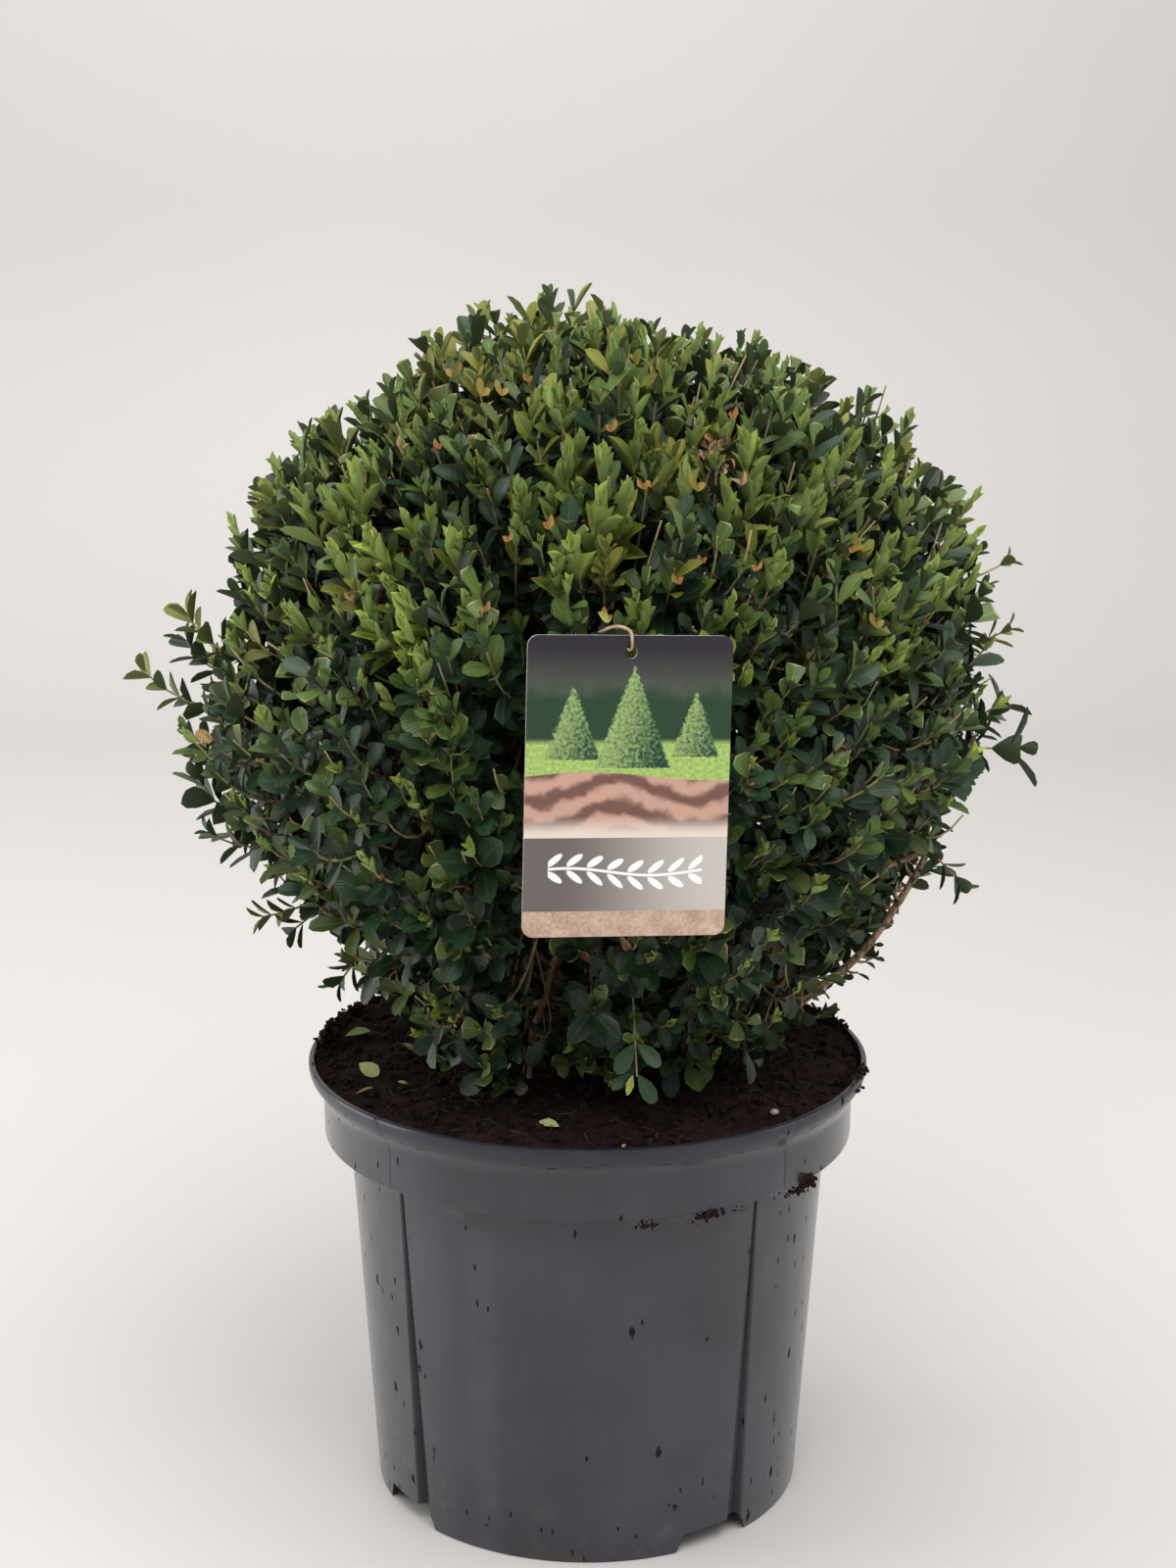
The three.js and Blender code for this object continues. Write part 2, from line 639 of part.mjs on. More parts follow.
function spraySolids(mass) {
  const solids = [];
  for (const { direction, random } of sprayDirections()) {
    const root = surfacePoint(direction, CORE_SHARE);
    if (!inSpace(mass, root, SPACE_MARGIN + TWIG_ROOT_RADIUS)) continue;
    if (root.z < CORE_FLOOR + 3) continue;
    const from = root.clone().addScaledVector(direction, -TWIG_SINK);
    const length = (TWIG_REACH - CORE_SHARE) * clippedReach(direction) * (0.8 + 0.4 * random()) + TWIG_SINK;
    const tips = [growth(direction), direction].map((way) => from.clone().addScaledVector(way, length));
    const to = tips.find((tip) => twigIsClear(mass, from, tip));
    if (!to) continue;
    solids.push(twigSolid(from, to), ...leavesOn(mass, from, to, 2, LEAF_LENGTH, LEAF_LEAN.tip, random));
  }
  return solids;
}

// A long shoot that leaves the ball, bends up and ends in small leaves at its given place.
function straySolids(mass) {
  const solids = [];
  STRAY_SHOOTS.forEach(({ turn, out, height }, i) => {
    const angle = THREE.MathUtils.degToRad(turn);
    const tip = new THREE.Vector3(out * Math.cos(angle), out * Math.sin(angle), height);
    const inward = tip.clone().sub(BALL_CENTRE);
    const direction = inward.setZ(0.75 * inward.z - 18).normalize();
    const root = surfacePoint(direction, CORE_SHARE).addScaledVector(direction, -TWIG_SINK);
    if (!inSpace(mass, root, SPACE_MARGIN + TWIG_ROOT_RADIUS)) return;
    const axis = tip.clone().sub(root).normalize();
    const to = tip.clone().addScaledVector(axis, -0.72 * STRAY_LEAF.length);
    if (!twigIsClear(mass, root, to)) return;
    const random = seededRandom(SEED + i);
    solids.push(twigSolid(root, to), ...leavesOn(mass, root, to, 3, STRAY_LEAF.length, STRAY_LEAF.lean, random));
  });
  return solids;
}

// The hooked twig that carries the tag: out over the tag's top edge, and back in through its hole.
function hookSolid() {
  const holeHeight = TAG.height / 2 - TAG.holeDrop + TAG.holeRadius - HOOK_RADIUS - HOOK_SLACK;
  const local = [
    [-16, 54, 62],
    [-12, 26, 66],
    [-7, 8, 66],
    [-3, -1.5, 63],
    [-0.4, -4, 58],
    [0, -3.6, holeHeight + 2.2],
    [0, 0, holeHeight],
    [0, 5, holeHeight - 0.4],
  ];
  const matrix = tagMatrix();
  const route = local.map((point) => new THREE.Vector3(...point).applyMatrix4(matrix).toArray());
  return limbSolid(route, [1.5, HOOK_RADIUS], 16, 6);
}

function makeMass(mass, besideLimbs) {
  const bough = BOUGHS.find((one) => one.mass === mass.name);
  const above = new THREE.BoxGeometry(600, 600, 600);
  above.translate(0, 0, CORE_FLOOR + 300);
  const bareInside = turned([[0, 190], ...BARE_INSIDE, [0, 440]], BALL_SIDES).translate([BALL_CENTRE.x, 0, 0]);
  let core = ballSolid(CORE_SHARE).subtract(bareInside).intersect(solidOf(above));
  core = mass.cap
    ? core.intersect(capCutter(CORE_CLEARANCE))
    : core.intersect(sectorCutter(mass)).subtract(capCutter(-CORE_CLEARANCE));
  const tip = new THREE.Vector3(...bough.route.at(-1));
  const onward = new THREE.Vector3(...bough.into[0]).sub(tip).normalize();
  const seat = tip.clone().addScaledVector(onward, SEAT_GAP);
  const stem = limbSolid([seat.toArray(), ...bough.into], [bough.radii[1], 3.4], 6, 6);
  const pieces = [core, stem, ...spraySolids(mass), ...straySolids(mass)].filter(Boolean);
  if (mass.name === "foliage_front") pieces.push(hookSolid());
  const joined = wasm.Manifold.union(pieces).subtract(besideLimbs);
  return namedMesh(mass.name, geometryOf(joined), "foliage");
}

function makeTag() {
  const { width, height, thickness, corner, holeRadius, holeDrop } = TAG;
  const right = width / 2;
  const top = height / 2;
  const shape = new THREE.Shape();
  shape.moveTo(corner - right, -top);
  shape.lineTo(right - corner, -top);
  shape.absarc(right - corner, corner - top, corner, -Math.PI / 2, 0);
  shape.lineTo(right, top - corner);
  shape.absarc(right - corner, top - corner, corner, 0, Math.PI / 2);
  shape.lineTo(corner - right, top);
  shape.absarc(corner - right, top - corner, corner, Math.PI / 2, Math.PI);
  shape.lineTo(-right, corner - top);
  shape.absarc(corner - right, corner - top, corner, Math.PI, 1.5 * Math.PI);
  const hole = new THREE.Path();
  hole.absarc(0, top - holeDrop, holeRadius, 0, 2 * Math.PI, true);
  shape.holes.push(hole);
  const geometry = new THREE.ExtrudeGeometry(shape, { depth: thickness, bevelEnabled: false, curveSegments: 4 });
  geometry.translate(0, 0, -thickness / 2);
  geometry.rotateX(Math.PI / 2);
  geometry.applyMatrix4(tagMatrix());
  return namedMesh("tag", geometryOf(solidOf(geometry)), "tag");
}

function makePlant() {
  const plant = new THREE.Group();
  plant.name = "box_ball";
  plant.add(makePot(), makeSoil(), namedMesh("main_stem", geometryOf(stemSolid(0)), "bark"));
  const besideStem = stemSolid(SEAT_GAP);
  for (const bough of BOUGHS) {
    plant.add(namedMesh(bough.name, geometryOf(boughSolid(bough, 0).subtract(besideStem)), "bark"));
  }
  const besideLimbs = wasm.Manifold.union([besideStem, ...BOUGHS.map((bough) => boughSolid(bough, SEAT_GAP))]);
  for (const mass of MASSES) plant.add(makeMass(mass, besideLimbs));
  plant.add(makeTag());
  return plant;
}

export default makePlant();
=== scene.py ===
import math

import bmesh
import bpy
import numpy as np
from mathutils import Matrix, Vector


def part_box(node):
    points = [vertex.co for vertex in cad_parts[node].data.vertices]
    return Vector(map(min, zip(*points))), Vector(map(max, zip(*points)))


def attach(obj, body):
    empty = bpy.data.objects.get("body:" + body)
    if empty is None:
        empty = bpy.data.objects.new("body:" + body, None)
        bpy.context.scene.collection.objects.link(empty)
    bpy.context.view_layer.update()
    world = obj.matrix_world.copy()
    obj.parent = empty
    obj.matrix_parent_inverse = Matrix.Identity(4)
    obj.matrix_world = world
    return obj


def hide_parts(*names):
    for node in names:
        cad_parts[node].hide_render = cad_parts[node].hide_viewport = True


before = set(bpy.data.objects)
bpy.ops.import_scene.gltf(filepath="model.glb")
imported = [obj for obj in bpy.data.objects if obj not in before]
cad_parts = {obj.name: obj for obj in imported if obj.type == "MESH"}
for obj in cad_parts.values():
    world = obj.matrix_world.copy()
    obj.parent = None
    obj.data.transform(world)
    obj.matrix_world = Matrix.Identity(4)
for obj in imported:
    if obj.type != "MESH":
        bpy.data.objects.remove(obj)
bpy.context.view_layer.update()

POT_LOW, POT_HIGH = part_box("pot")

bl_info = {
    "name": "Potted Box Ball",
    "version": (1, 0, 0),
    "blender": (4, 5, 0),
    "location": "View3D > Sidebar > Box Ball",
    "description": "A clipped box ball in a grey nursery pot, with soil and a care tag",
    "category": "Add Mesh",
}

# Sizes shared by the pieces, in metres, and angles in degrees
LIP_RADIUS = (POT_HIGH[0] - POT_LOW[0]) / 2
POT_HEIGHT = POT_HIGH[2]
LIP_HEIGHT = 0.008
LIP_WALL = 0.0026
BAND_RADIUS = 0.116
BAND_BOTTOM = 0.162
BODY_TOP_RADIUS = 0.105
FOOT_RADIUS = 0.0945
WALL = 0.002
FLOOR_LIFT = 0.0095
SOIL_LEVEL = 0.189
SOIL_MOUND = 0.004
SOIL_HEAP = 0.0078
# The grooves down the pot: how many, the angle of the first, half their width at top and foot,
# their depth at the top, and the plain wall's distance from them
FLUTE_COUNT = 4
FLUTE_TURN = 42
FLUTE_TOP_HALF_WIDTH = 0.00108
FLUTE_FOOT_HALF_WIDTH = 0.0045
FLUTE_TOP_DEPTH = 0.001
FLUTE_MARGIN = 3.6
# How far the middle of a foot gap is before its groove, and the drain holes in the floor
NOTCH_BEFORE = 7
DRAIN_COUNT = 6
DRAIN_RING = 0.058
DRAIN_RADIUS = 0.006
LEAST_POT_FACES = 4000
# The clipped ball: its middle, its radius level with it and above and below, and its unevenness
BALL_CENTRE = np.array([0.006, 0.0, 0.375])
BALL_RADIUS = 0.160
BALL_RISE = 0.140
BALL_DROP = 0.205
LUMP_SHARE = 0.022
SKEW_SHARE = 0.07
# No leaf reaches further out from the pot's axis, or higher, than this
REACH_LIMIT = 0.1985
TOP_LIMIT = 0.531
LEAVES_A_PIECE = 6100
STONE_PLACE = (0.0776, -0.0692)
LITTER_LIMIT = 0.117
FIBRE_COUNT = 130
# Heaps of crumbs on the lip and under the band: angle, distance out, height, count, spread and size
CRUMB_CLUSTERS = (
    (-16, 0.1213, 0.1975, 30, 3.4, 0.0022), (-20, 0.1222, 0.1925, 10, 2.5, 0.0014),
    (152, 0.1195, 0.1972, 260, 22.0, 0.0022), (20, 0.1195, 0.1968, 70, 12.0, 0.0016),
    (-38, 0.1165, 0.1632, 34, 2.3, 0.0023), (-40, 0.1150, 0.1602, 30, 2.0, 0.0022),
    (-43, 0.1130, 0.1598, 12, 2.6, 0.0013), (-64.5, 0.1160, 0.1622, 34, 2.6, 0.0022),
    (-67, 0.1140, 0.1604, 10, 2.0, 0.0014), (-78, 0.1140, 0.1604, 20, 2.2, 0.0017),
    (-54, 0.1150, 0.1612, 10, 6.0, 0.0010), (98, 0.1125, 0.1606, 24, 9.0, 0.0016),
)
# Leaves that lie on the soil: shape, place, turn, length, width, tilt, lean and tint
FALLEN_LEAVES = (
    ("broad", (-0.0990, -0.0215), 230, 0.0113, 0.0076, 8, 34, 0.9),
    ("young", (-0.1090, 0.0195), 72, 0.0120, 0.0046, 172, -150, 1.0),
    ("young", (-0.0215, -0.0790), 250, 0.0108, 0.0046, 8, 30, 0.8),
    ("narrow", (-0.0984, -0.0457), 310, 0.0095, 0.0026, 5, 0, 0.35),
    ("young", (-0.0740, -0.0047), 60, 0.0100, 0.0035, 12, 20, 0.3),
    ("narrow", (-0.0399, -0.1069), 20, 0.0050, 0.0018, 5, 0, 0.7),
    ("young", (-0.0760, -0.0361), 75, 0.0060, 0.0022, 12, 20, 0.85),
    ("narrow", (0.0150, -0.1000), 170, 0.0045, 0.0018, 5, 0, 0.5),
    ("broad", (0.0600, 0.0880), 120, 0.0140, 0.0078, 8, -20, 0.6),
    ("narrow", (-0.0350, 0.0990), 15, 0.0120, 0.0050, 8, 0, 0.2),
)
# The card's middle, how it is turned, its hole, and the twig through it
TAG_CENTRE = np.array([0.014, -0.173, 0.3555])
TAG_TURNS = ((10, "Z"), (-3.6, "X"), (1.9, "Y"))
TAG_HOLE_RADIUS = 0.0024
TAG_HOLE_DROP = 0.006
HOOK_RADII = (0.0007, 0.0005)
HOOK_CLEARANCE = 0.0009
HOOK_RELIEF = 0.10
# The camera's place and lens, and how far it looks down and leans, in degrees and radians
CAMERA_PLACE = (-0.0006, -1.065, 0.565)
CAMERA_LENS = 58.3
CAMERA_DOWN = 13.15
CAMERA_LEAN = -0.002
# The sweep's wall: how far behind the plant its bend begins, and the bend's radius
BEND_START = 1.55
BEND_RADIUS = 0.55
# The soft panels of light: name, place, aim, size, share of the lamp's power, and colour
PANELS = (
    ("overhead_panel", (0.15, -0.72, 1.70), (0, 0, 0.35), 1.5, 1.0, (1.0, 0.985, 0.96)),
    ("wall_panel", (-0.5, 1.0, 2.4), (-0.4, 2.1, 1.15), 1.6, 0.85, (1.0, 0.985, 0.96)),
    ("side_panel", (-1.6, 0.1, 0.55), (0, 0, 0.2), 1.2, 0.50, (1.0, 0.985, 0.96)),
    ("right_panel", (1.6, 0.0, 0.9), (0, 0, 0.25), 1.1, 0.17, (1.0, 0.99, 0.97)),
)

FOLIAGE_NODES = tuple(f"foliage_{side}" for side in ("right", "back", "left", "front", "top"))
# What the points carry for the scatter tree, and for the twig tree
POINT_VECTORS = ("axis", "face", "extent")
POINT_NUMBER = "girth"
# How much a scattered shape pitches, as a share of how much it rolls
PITCH_SHARE = 0.4


# Shader and geometry nodes

class Bench:
    """Builds the nodes of one tree."""

    def __init__(self, tree):
        self.tree = tree

    def node(self, kind, settings=None, inputs=None, output=0):
        """Makes a node: its settings first, then the values or links of its sockets."""
        made = self.tree.nodes.new(kind)
        for key, value in (settings or {}).items():
            if key == "stops":
                ramp = made.color_ramp
                while len(ramp.elements) < len(value):
                    ramp.elements.new(0.5)
                for element, (place, colour) in zip(ramp.elements, value):
                    element.position = place
                    element.color = (*colour, 1.0)
            else:
                setattr(made, key, value)
        for key, value in (inputs or {}).items():
            socket = made.inputs[key]
            if isinstance(value, Wire):
                self.tree.links.new(value.socket, socket)
            elif socket.type == "RGBA" and len(value) == 3:
                socket.default_value = (*value, 1.0)
            else:
                socket.default_value = value
        return Wire(self, made.outputs[output])

    def mix(self, factor, first, second):
        """A blend of two colours, which are the node's sockets 6 and 7. The mixed colour is its output 2."""
        settings = {"data_type": "RGBA"}
        return self.node("ShaderNodeMix", settings, {0: factor, 6: first, 7: second}, 2)

    def attribute(self, name, kind):
        """A named attribute of the points, in a Geometry Nodes tree."""
        return self.node("GeometryNodeInputNamedAttribute", {"data_type": kind}, {"Name": name})

    def noise(self, vector, scale, detail=3.0, roughness=0.5):
        inputs = {"Vector": vector, "Scale": scale, "Detail": detail, "Roughness": roughness}
        return self.node("ShaderNodeTexNoise", None, inputs)

    def stretched(self, vector, factors):
        """A vector multiplied by three factors."""
        return self.node("ShaderNodeVectorMath", {"operation": "MULTIPLY"}, {0: vector, 1: factors})


def worked(operation, reflected=False):
    """A method that adds one Math node, with the wire as its first value or as its last."""
    def method(wire, *others):
        values = (*others, wire) if reflected else (wire, *others)
        return wire.bench.node("ShaderNodeMath", {"operation": operation}, dict(enumerate(values)))
    return method


class Wire:
    """One output of a node. Arithmetic on it adds Math nodes to the same tree."""

    __add__, __radd__ = worked("ADD"), worked("ADD", True)
    __sub__, __rsub__ = worked("SUBTRACT"), worked("SUBTRACT", True)
    __mul__, __rmul__ = worked("MULTIPLY"), worked("MULTIPLY", True)
    __truediv__ = worked("DIVIDE")
    __gt__, __lt__ = worked("GREATER_THAN"), worked("LESS_THAN")
    least, most = worked("MINIMUM"), worked("MAXIMUM")
    size, sine, root, whole = worked("ABSOLUTE"), worked("SINE"), worked("SQRT"), worked("FLOOR")
    angle_over = worked("ARCTAN2")

    def __init__(self, bench, socket):
        self.bench = bench
        self.socket = socket

    def ramped(self, low, high):
        """0 below low, 1 above high, and smooth between them."""
        settings = {"interpolation_type": "SMOOTHSTEP"}
        return self.bench.node("ShaderNodeMapRange", settings, {0: self, 1: low, 2: high})

    def near(self, middle, inner, outer):
        """1 within the inner distance of a middle, and 0 past the outer one."""
        return 1.0 - (self - middle).size().ramped(inner, outer)

    def parts(self):
        """The three numbers of a vector."""
        made = self.bench.node("ShaderNodeSeparateXYZ", None, {0: self}).socket.node
        return [Wire(self.bench, made.outputs[i]) for i in range(3)]


class Finish(Bench):
    """One material, with its shader and its output."""

    def __init__(self, name):
        self.material = bpy.data.materials.new(name)
        self.material.use_nodes = True
        super().__init__(self.material.node_tree)
        self.tree.nodes.clear()
        self.place = self.node("ShaderNodeTexCoord", None, None, "Object")

    def grain(self, scale, detail=3.0, roughness=0.5):
        """Noise on the piece's own coordinates."""
        return self.noise(self.place, scale, detail, roughness)

    def close(self, colour, roughness, height=None, depth=0.0005, strength=0.5, **plain):
        """Ends the material in a Principled shader, and gives it back."""
        inputs = {"Base Color": colour, "Roughness": roughness, **plain}
        if height is not None:
            bump = {"Height": height, "Distance": depth, "Strength": strength}
            inputs["Normal"] = self.node("ShaderNodeBump", None, bump)
        shader = self.node("ShaderNodeBsdfPrincipled", None, inputs)
        leave = self.tree.nodes.new("ShaderNodeOutputMaterial")
        self.tree.links.new(shader.socket, leave.inputs["Surface"])
        return self.material


def geometry_tree(name, sockets):
    """A Geometry Nodes tree with named inputs. Gives the tree, its bench and its inputs by name."""
    tree = bpy.data.node_groups.new(name, "GeometryNodeTree")
    tree.interface.new_socket("Geometry", in_out="INPUT", socket_type="NodeSocketGeometry")
    for label, kind, value in sockets:
        socket = tree.interface.new_socket(label, in_out="INPUT", socket_type=kind)
        if value is not None:
            socket.default_value = value
    tree.interface.new_socket("Geometry", in_out="OUTPUT", socket_type="NodeSocketGeometry")
    bench = Bench(tree)
    entry = tree.nodes.new("NodeGroupInput")
    inputs = {socket.name: Wire(bench, socket) for socket in entry.outputs if socket.name}
    return tree, bench, inputs


def finish_tree(bench, geometry, material):
    """Realizes the instances, sets the material and links the tree's output."""
    real = bench.node("GeometryNodeRealizeInstances", None, {0: geometry})
    dressed = bench.node("GeometryNodeSetMaterial", None, {"Geometry": real, "Material": material})
    leave = bench.tree.nodes.new("NodeGroupOutput")
    bench.tree.links.new(dressed.socket, leave.inputs[0])


def scatter_tree():
    """Sets a small shape on each point, along its axis and with its face as the point says."""
    tree, bench, inputs = geometry_tree("Scatter", [
        ("Shape", "NodeSocketObject", None),
        ("Size", "NodeSocketFloat", 1.0),
        ("Wobble", "NodeSocketFloat", 0.0),
        ("Seed", "NodeSocketInt", 1),
        ("Finish", "NodeSocketMaterial", None),
    ])
    axis, face, extent = (bench.attribute(name, "FLOAT_VECTOR") for name in POINT_VECTORS)
    along = bench.node("FunctionNodeAlignRotationToVector", {"axis": "Y"}, {"Vector": axis})
    faced = bench.node("FunctionNodeAlignRotationToVector", {"axis": "Z", "pivot_axis": "Y"}, {
        "Rotation": along, "Vector": face,
    })
    low = inputs["Wobble"] * -1.0
    turn = bench.node("FunctionNodeRandomValue", {"data_type": "FLOAT"}, {
        2: low, 3: inputs["Wobble"], "Seed": inputs["Seed"],
    }, 1)
    spin = bench.node("ShaderNodeCombineXYZ", None, {0: turn * PITCH_SHARE, 1: turn, 2: 0.0})
    swung = bench.node("FunctionNodeRotateRotation", {"rotation_space": "LOCAL"}, {0: faced, 1: spin})
    scale = bench.node("ShaderNodeVectorMath", {"operation": "SCALE"}, {0: extent, "Scale": inputs["Size"]})
    shape = bench.node("GeometryNodeObjectInfo", None, {0: inputs["Shape"]}, "Geometry")
    points = bench.node("GeometryNodeMeshToPoints", None, {0: inputs["Geometry"]})
    placed = bench.node("GeometryNodeInstanceOnPoints", None, {
        "Points": points, "Instance": shape, "Rotation": swung, "Scale": scale,
    })
    finish_tree(bench, placed, inputs["Finish"])
    return tree


def twig_tree():
    """Runs a round section along every line of a mesh, as thick as the points say."""
    tree, bench, inputs = geometry_tree("Twigs", [
        ("Sides", "NodeSocketInt", 5),
        ("Thickness", "NodeSocketFloat", 1.0),
        ("Finish", "NodeSocketMaterial", None),
    ])
    girth = bench.attribute(POINT_NUMBER, "FLOAT")
    curve = bench.node("GeometryNodeMeshToCurve", None, {0: inputs["Geometry"]})
    section = bench.node("GeometryNodeCurvePrimitiveCircle", None, {
        "Resolution": inputs["Sides"], "Radius": 1.0,
    })
    tube = bench.node("GeometryNodeCurveToMesh", None, {
        "Curve": curve, "Profile Curve": section, "Scale": girth * inputs["Thickness"], "Fill Caps": True,
    })
    finish_tree(bench, tube, inputs["Finish"])
    return tree


def baked(piece):
    """The mesh that a piece's modifiers give. The piece itself is removed."""
    depsgraph = bpy.context.evaluated_depsgraph_get()
    mesh = bpy.data.meshes.new_from_object(piece.evaluated_get(depsgraph), depsgraph=depsgraph)
    piece.modifiers.clear()
    bpy.data.objects.remove(piece)
    return mesh


def grown(name, source, tree, values):
    """Runs a tree on a source object and keeps the result as a plain mesh object."""
    modifier = source.modifiers.new(name, "NODES")
    modifier.node_group = tree
    for item in tree.interface.items_tree:
        if item.item_type == "SOCKET" and item.in_out == "INPUT" and item.name in values:
            modifier[item.identifier] = values[item.name]
    mesh = baked(source)
    if not mesh.polygons:
        raise RuntimeError(f"{name} came out empty")
    for spare in (*POINT_VECTORS, POINT_NUMBER):
        if spare in mesh.attributes:
            mesh.attributes.remove(mesh.attributes[spare])
    mesh.name = name
    return linked(name, mesh)


def linked(name, mesh):
    piece = bpy.data.objects.new(name, mesh)
    bpy.context.scene.collection.objects.link(piece)
    return piece


def settle(piece, slot, *nodes):
    """Hangs a finished piece from the root and hides the parts that it stands for."""
    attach(piece, "root")
    if nodes:
        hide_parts(*nodes)
    return piece


def mesh_of(name, corners, faces, material=None):
    mesh = bpy.data.meshes.new(name)
    mesh.from_pydata([tuple(map(float, corner)) for corner in corners], [], faces)
    mesh.validate()
    return finished(mesh, material)


def mesh_from(sheet, name, material=None):
    """The mesh of a bmesh, which is freed."""
    mesh = bpy.data.meshes.new(name)
    sheet.to_mesh(mesh)
    sheet.free()
    if material:
        mesh.materials.append(material)
    return mesh


def finished(mesh, material=None):
    """The mesh with smooth shading and one material."""
    if material:
        mesh.materials.clear()
        mesh.materials.append(material)
        mesh.polygons.foreach_set("material_index", [0] * len(mesh.polygons))
    mesh.polygons.foreach_set("use_smooth", [True] * len(mesh.polygons))
    mesh.update()
    return mesh


def point_object(name, points, vectors, numbers, lines=()):
    """Loose points, or lines of points, that carry named vectors and numbers."""
    mesh = bpy.data.meshes.new(name)
    mesh.from_pydata([tuple(map(float, point)) for point in points], lines, [])
    for kind, field, columns in (("FLOAT_VECTOR", "vector", vectors), ("FLOAT", "value", numbers)):
        for label, values in columns.items():
            attribute = mesh.attributes.new(label, kind, "POINT")
            attribute.data.foreach_set(field, np.asarray(values, np.float32).ravel())
    return linked(name, mesh)


# The shape of the plant

def smoothstep(value, low, high):
    share = np.clip((value - low) / (high - low), 0, 1)
    return share * share * (3 - 2 * share)


def soil_height(x, y):
    """Height of the soil's surface: mounded, uneven past the stem's foot, and heaped at two sides."""
    radius = np.hypot(x, y)
    share = np.minimum(radius / (LIP_RADIUS - LIP_WALL), 1)
    angle = np.arctan2(y, x)
    away = smoothstep(radius, 0.016, 0.046)
    uneven = away * (
        0.0011 * np.sin(x / 0.013 + 1) * np.cos(y / 0.011)
        + 0.0008 * np.sin((x + y) / 0.007)
    )
    left = np.maximum(0, np.cos(angle - math.radians(150))) ** 2
    right = np.maximum(0, np.cos(angle - math.radians(12))) ** 6
    heap = SOIL_HEAP * share**5 * np.maximum(left, 0.6 * right)
    return SOIL_LEVEL + SOIL_MOUND * (1 - share * share) + uneven + heap


def unit(vectors):
    return vectors / np.maximum(np.linalg.norm(vectors, axis=-1, keepdims=True), 1e-9)


# Where the clipping left the crown fuller or flatter, seen from the front: angle and share
SHOULDERS = [
    (0, 0.045), (18, 0.060), (32, -0.040), (43, -0.005), (53, -0.090), (64, -0.045), (74, -0.025),
    (84, 0.015), (93, 0.085), (102, 0.07), (112, 0.05), (134, -0.01), (150, 0.115), (174, 0.040),
    (188, 0.150), (204, 0.065), (214, -0.045), (236, -0.07), (270, 0.0), (306, 0.010),
    (322, -0.075), (336, 0.02), (348, 0.090), (360, 0.045),
]


def clipped_reach(direction):
    """How far the clipped surface is from the ball's middle, for unit directions."""
    x, y, z = direction[..., 0], direction[..., 1], direction[..., 2]
    across = np.sin(4.1 * x + 1.3) * np.cos(3.7 * z - 0.4)
    around = np.sin(5.3 * y - 0.8) * np.sin(4.6 * x + 2.1 * z)
    lumps = LUMP_SHARE * (across + around) + SKEW_SHARE * x * z
    height = np.where(z > 0, BALL_RISE, BALL_DROP)
    turn = np.degrees(np.arctan2(z, x)) % 360
    angles, extras = zip(*SHOULDERS)
    side_on = (x * x + z * z) * np.interp(turn, angles, extras)
    return (1 + lumps + side_on) / np.hypot(np.hypot(x, y) / BALL_RADIUS, z / height)


def growth(direction):
    """Which way a shoot points where it comes through the surface: up, and a little outwards."""
    z = direction[..., 2]
    lift = (0.80 + 0.30 * z) * (0.30 + 0.70 * smoothstep(z, -0.95, -0.40))
    return unit(np.stack([0.52 * direction[..., 0], 0.52 * direction[..., 1], lift], -1))


def lattice(count, lowest, random, jitter):
    """Even directions round the ball, a little out of order."""
    index = np.arange(count)
    z = 1 - ((index + 0.5) / count) * (1 - lowest)
    turn = index * math.pi * (3 - math.sqrt(5))
    flat = np.sqrt(np.maximum(0, 1 - z * z))
    even = np.stack([flat * np.cos(turn), flat * np.sin(turn), z], -1)
    return unit(even + random.normal(0, jitter, even.shape))


def distances(path):
    """How far along a path each of its points is."""
    return np.concatenate([[0], np.cumsum(np.linalg.norm(np.diff(path, axis=0), axis=1))])


def smooth_route(points, count):
    """Points along a smooth curve through the given ones, at equal steps."""
    given = np.array(points, float)
    first = 2 * given[0] - given[1]
    last = 2 * given[-1] - given[-2]
    held = np.vstack([first, given, last])
    fine = []
    for i in range(len(given) - 1):
        a, b, c, d = held[i:i + 4]
        for share in np.linspace(0, 1, 24, endpoint=False):
            fine.append(0.5 * (
                2 * b + (c - a) * share
                + (2 * a - 5 * b + 4 * c - d) * share**2
                + (3 * b - a - 3 * c + d) * share**3
            ))
    fine.append(given[-1])
    fine = np.array(fine)
    lengths = distances(fine)
    wanted = np.linspace(0, lengths[-1], count)
    return np.stack([np.interp(wanted, lengths, fine[:, k]) for k in range(3)], -1)


STEM_FOOT = float(soil_height(0.0, 0.0)) + 0.0003
STEM_ROUTE = [[0.002, 0, STEM_FOOT], [0.003, 0.001, STEM_FOOT + 0.016], [0.006, 0.002, STEM_FOOT + 0.038]]
FRONT_FOOT = float(soil_height(-0.0255, -0.005)) + 0.0006
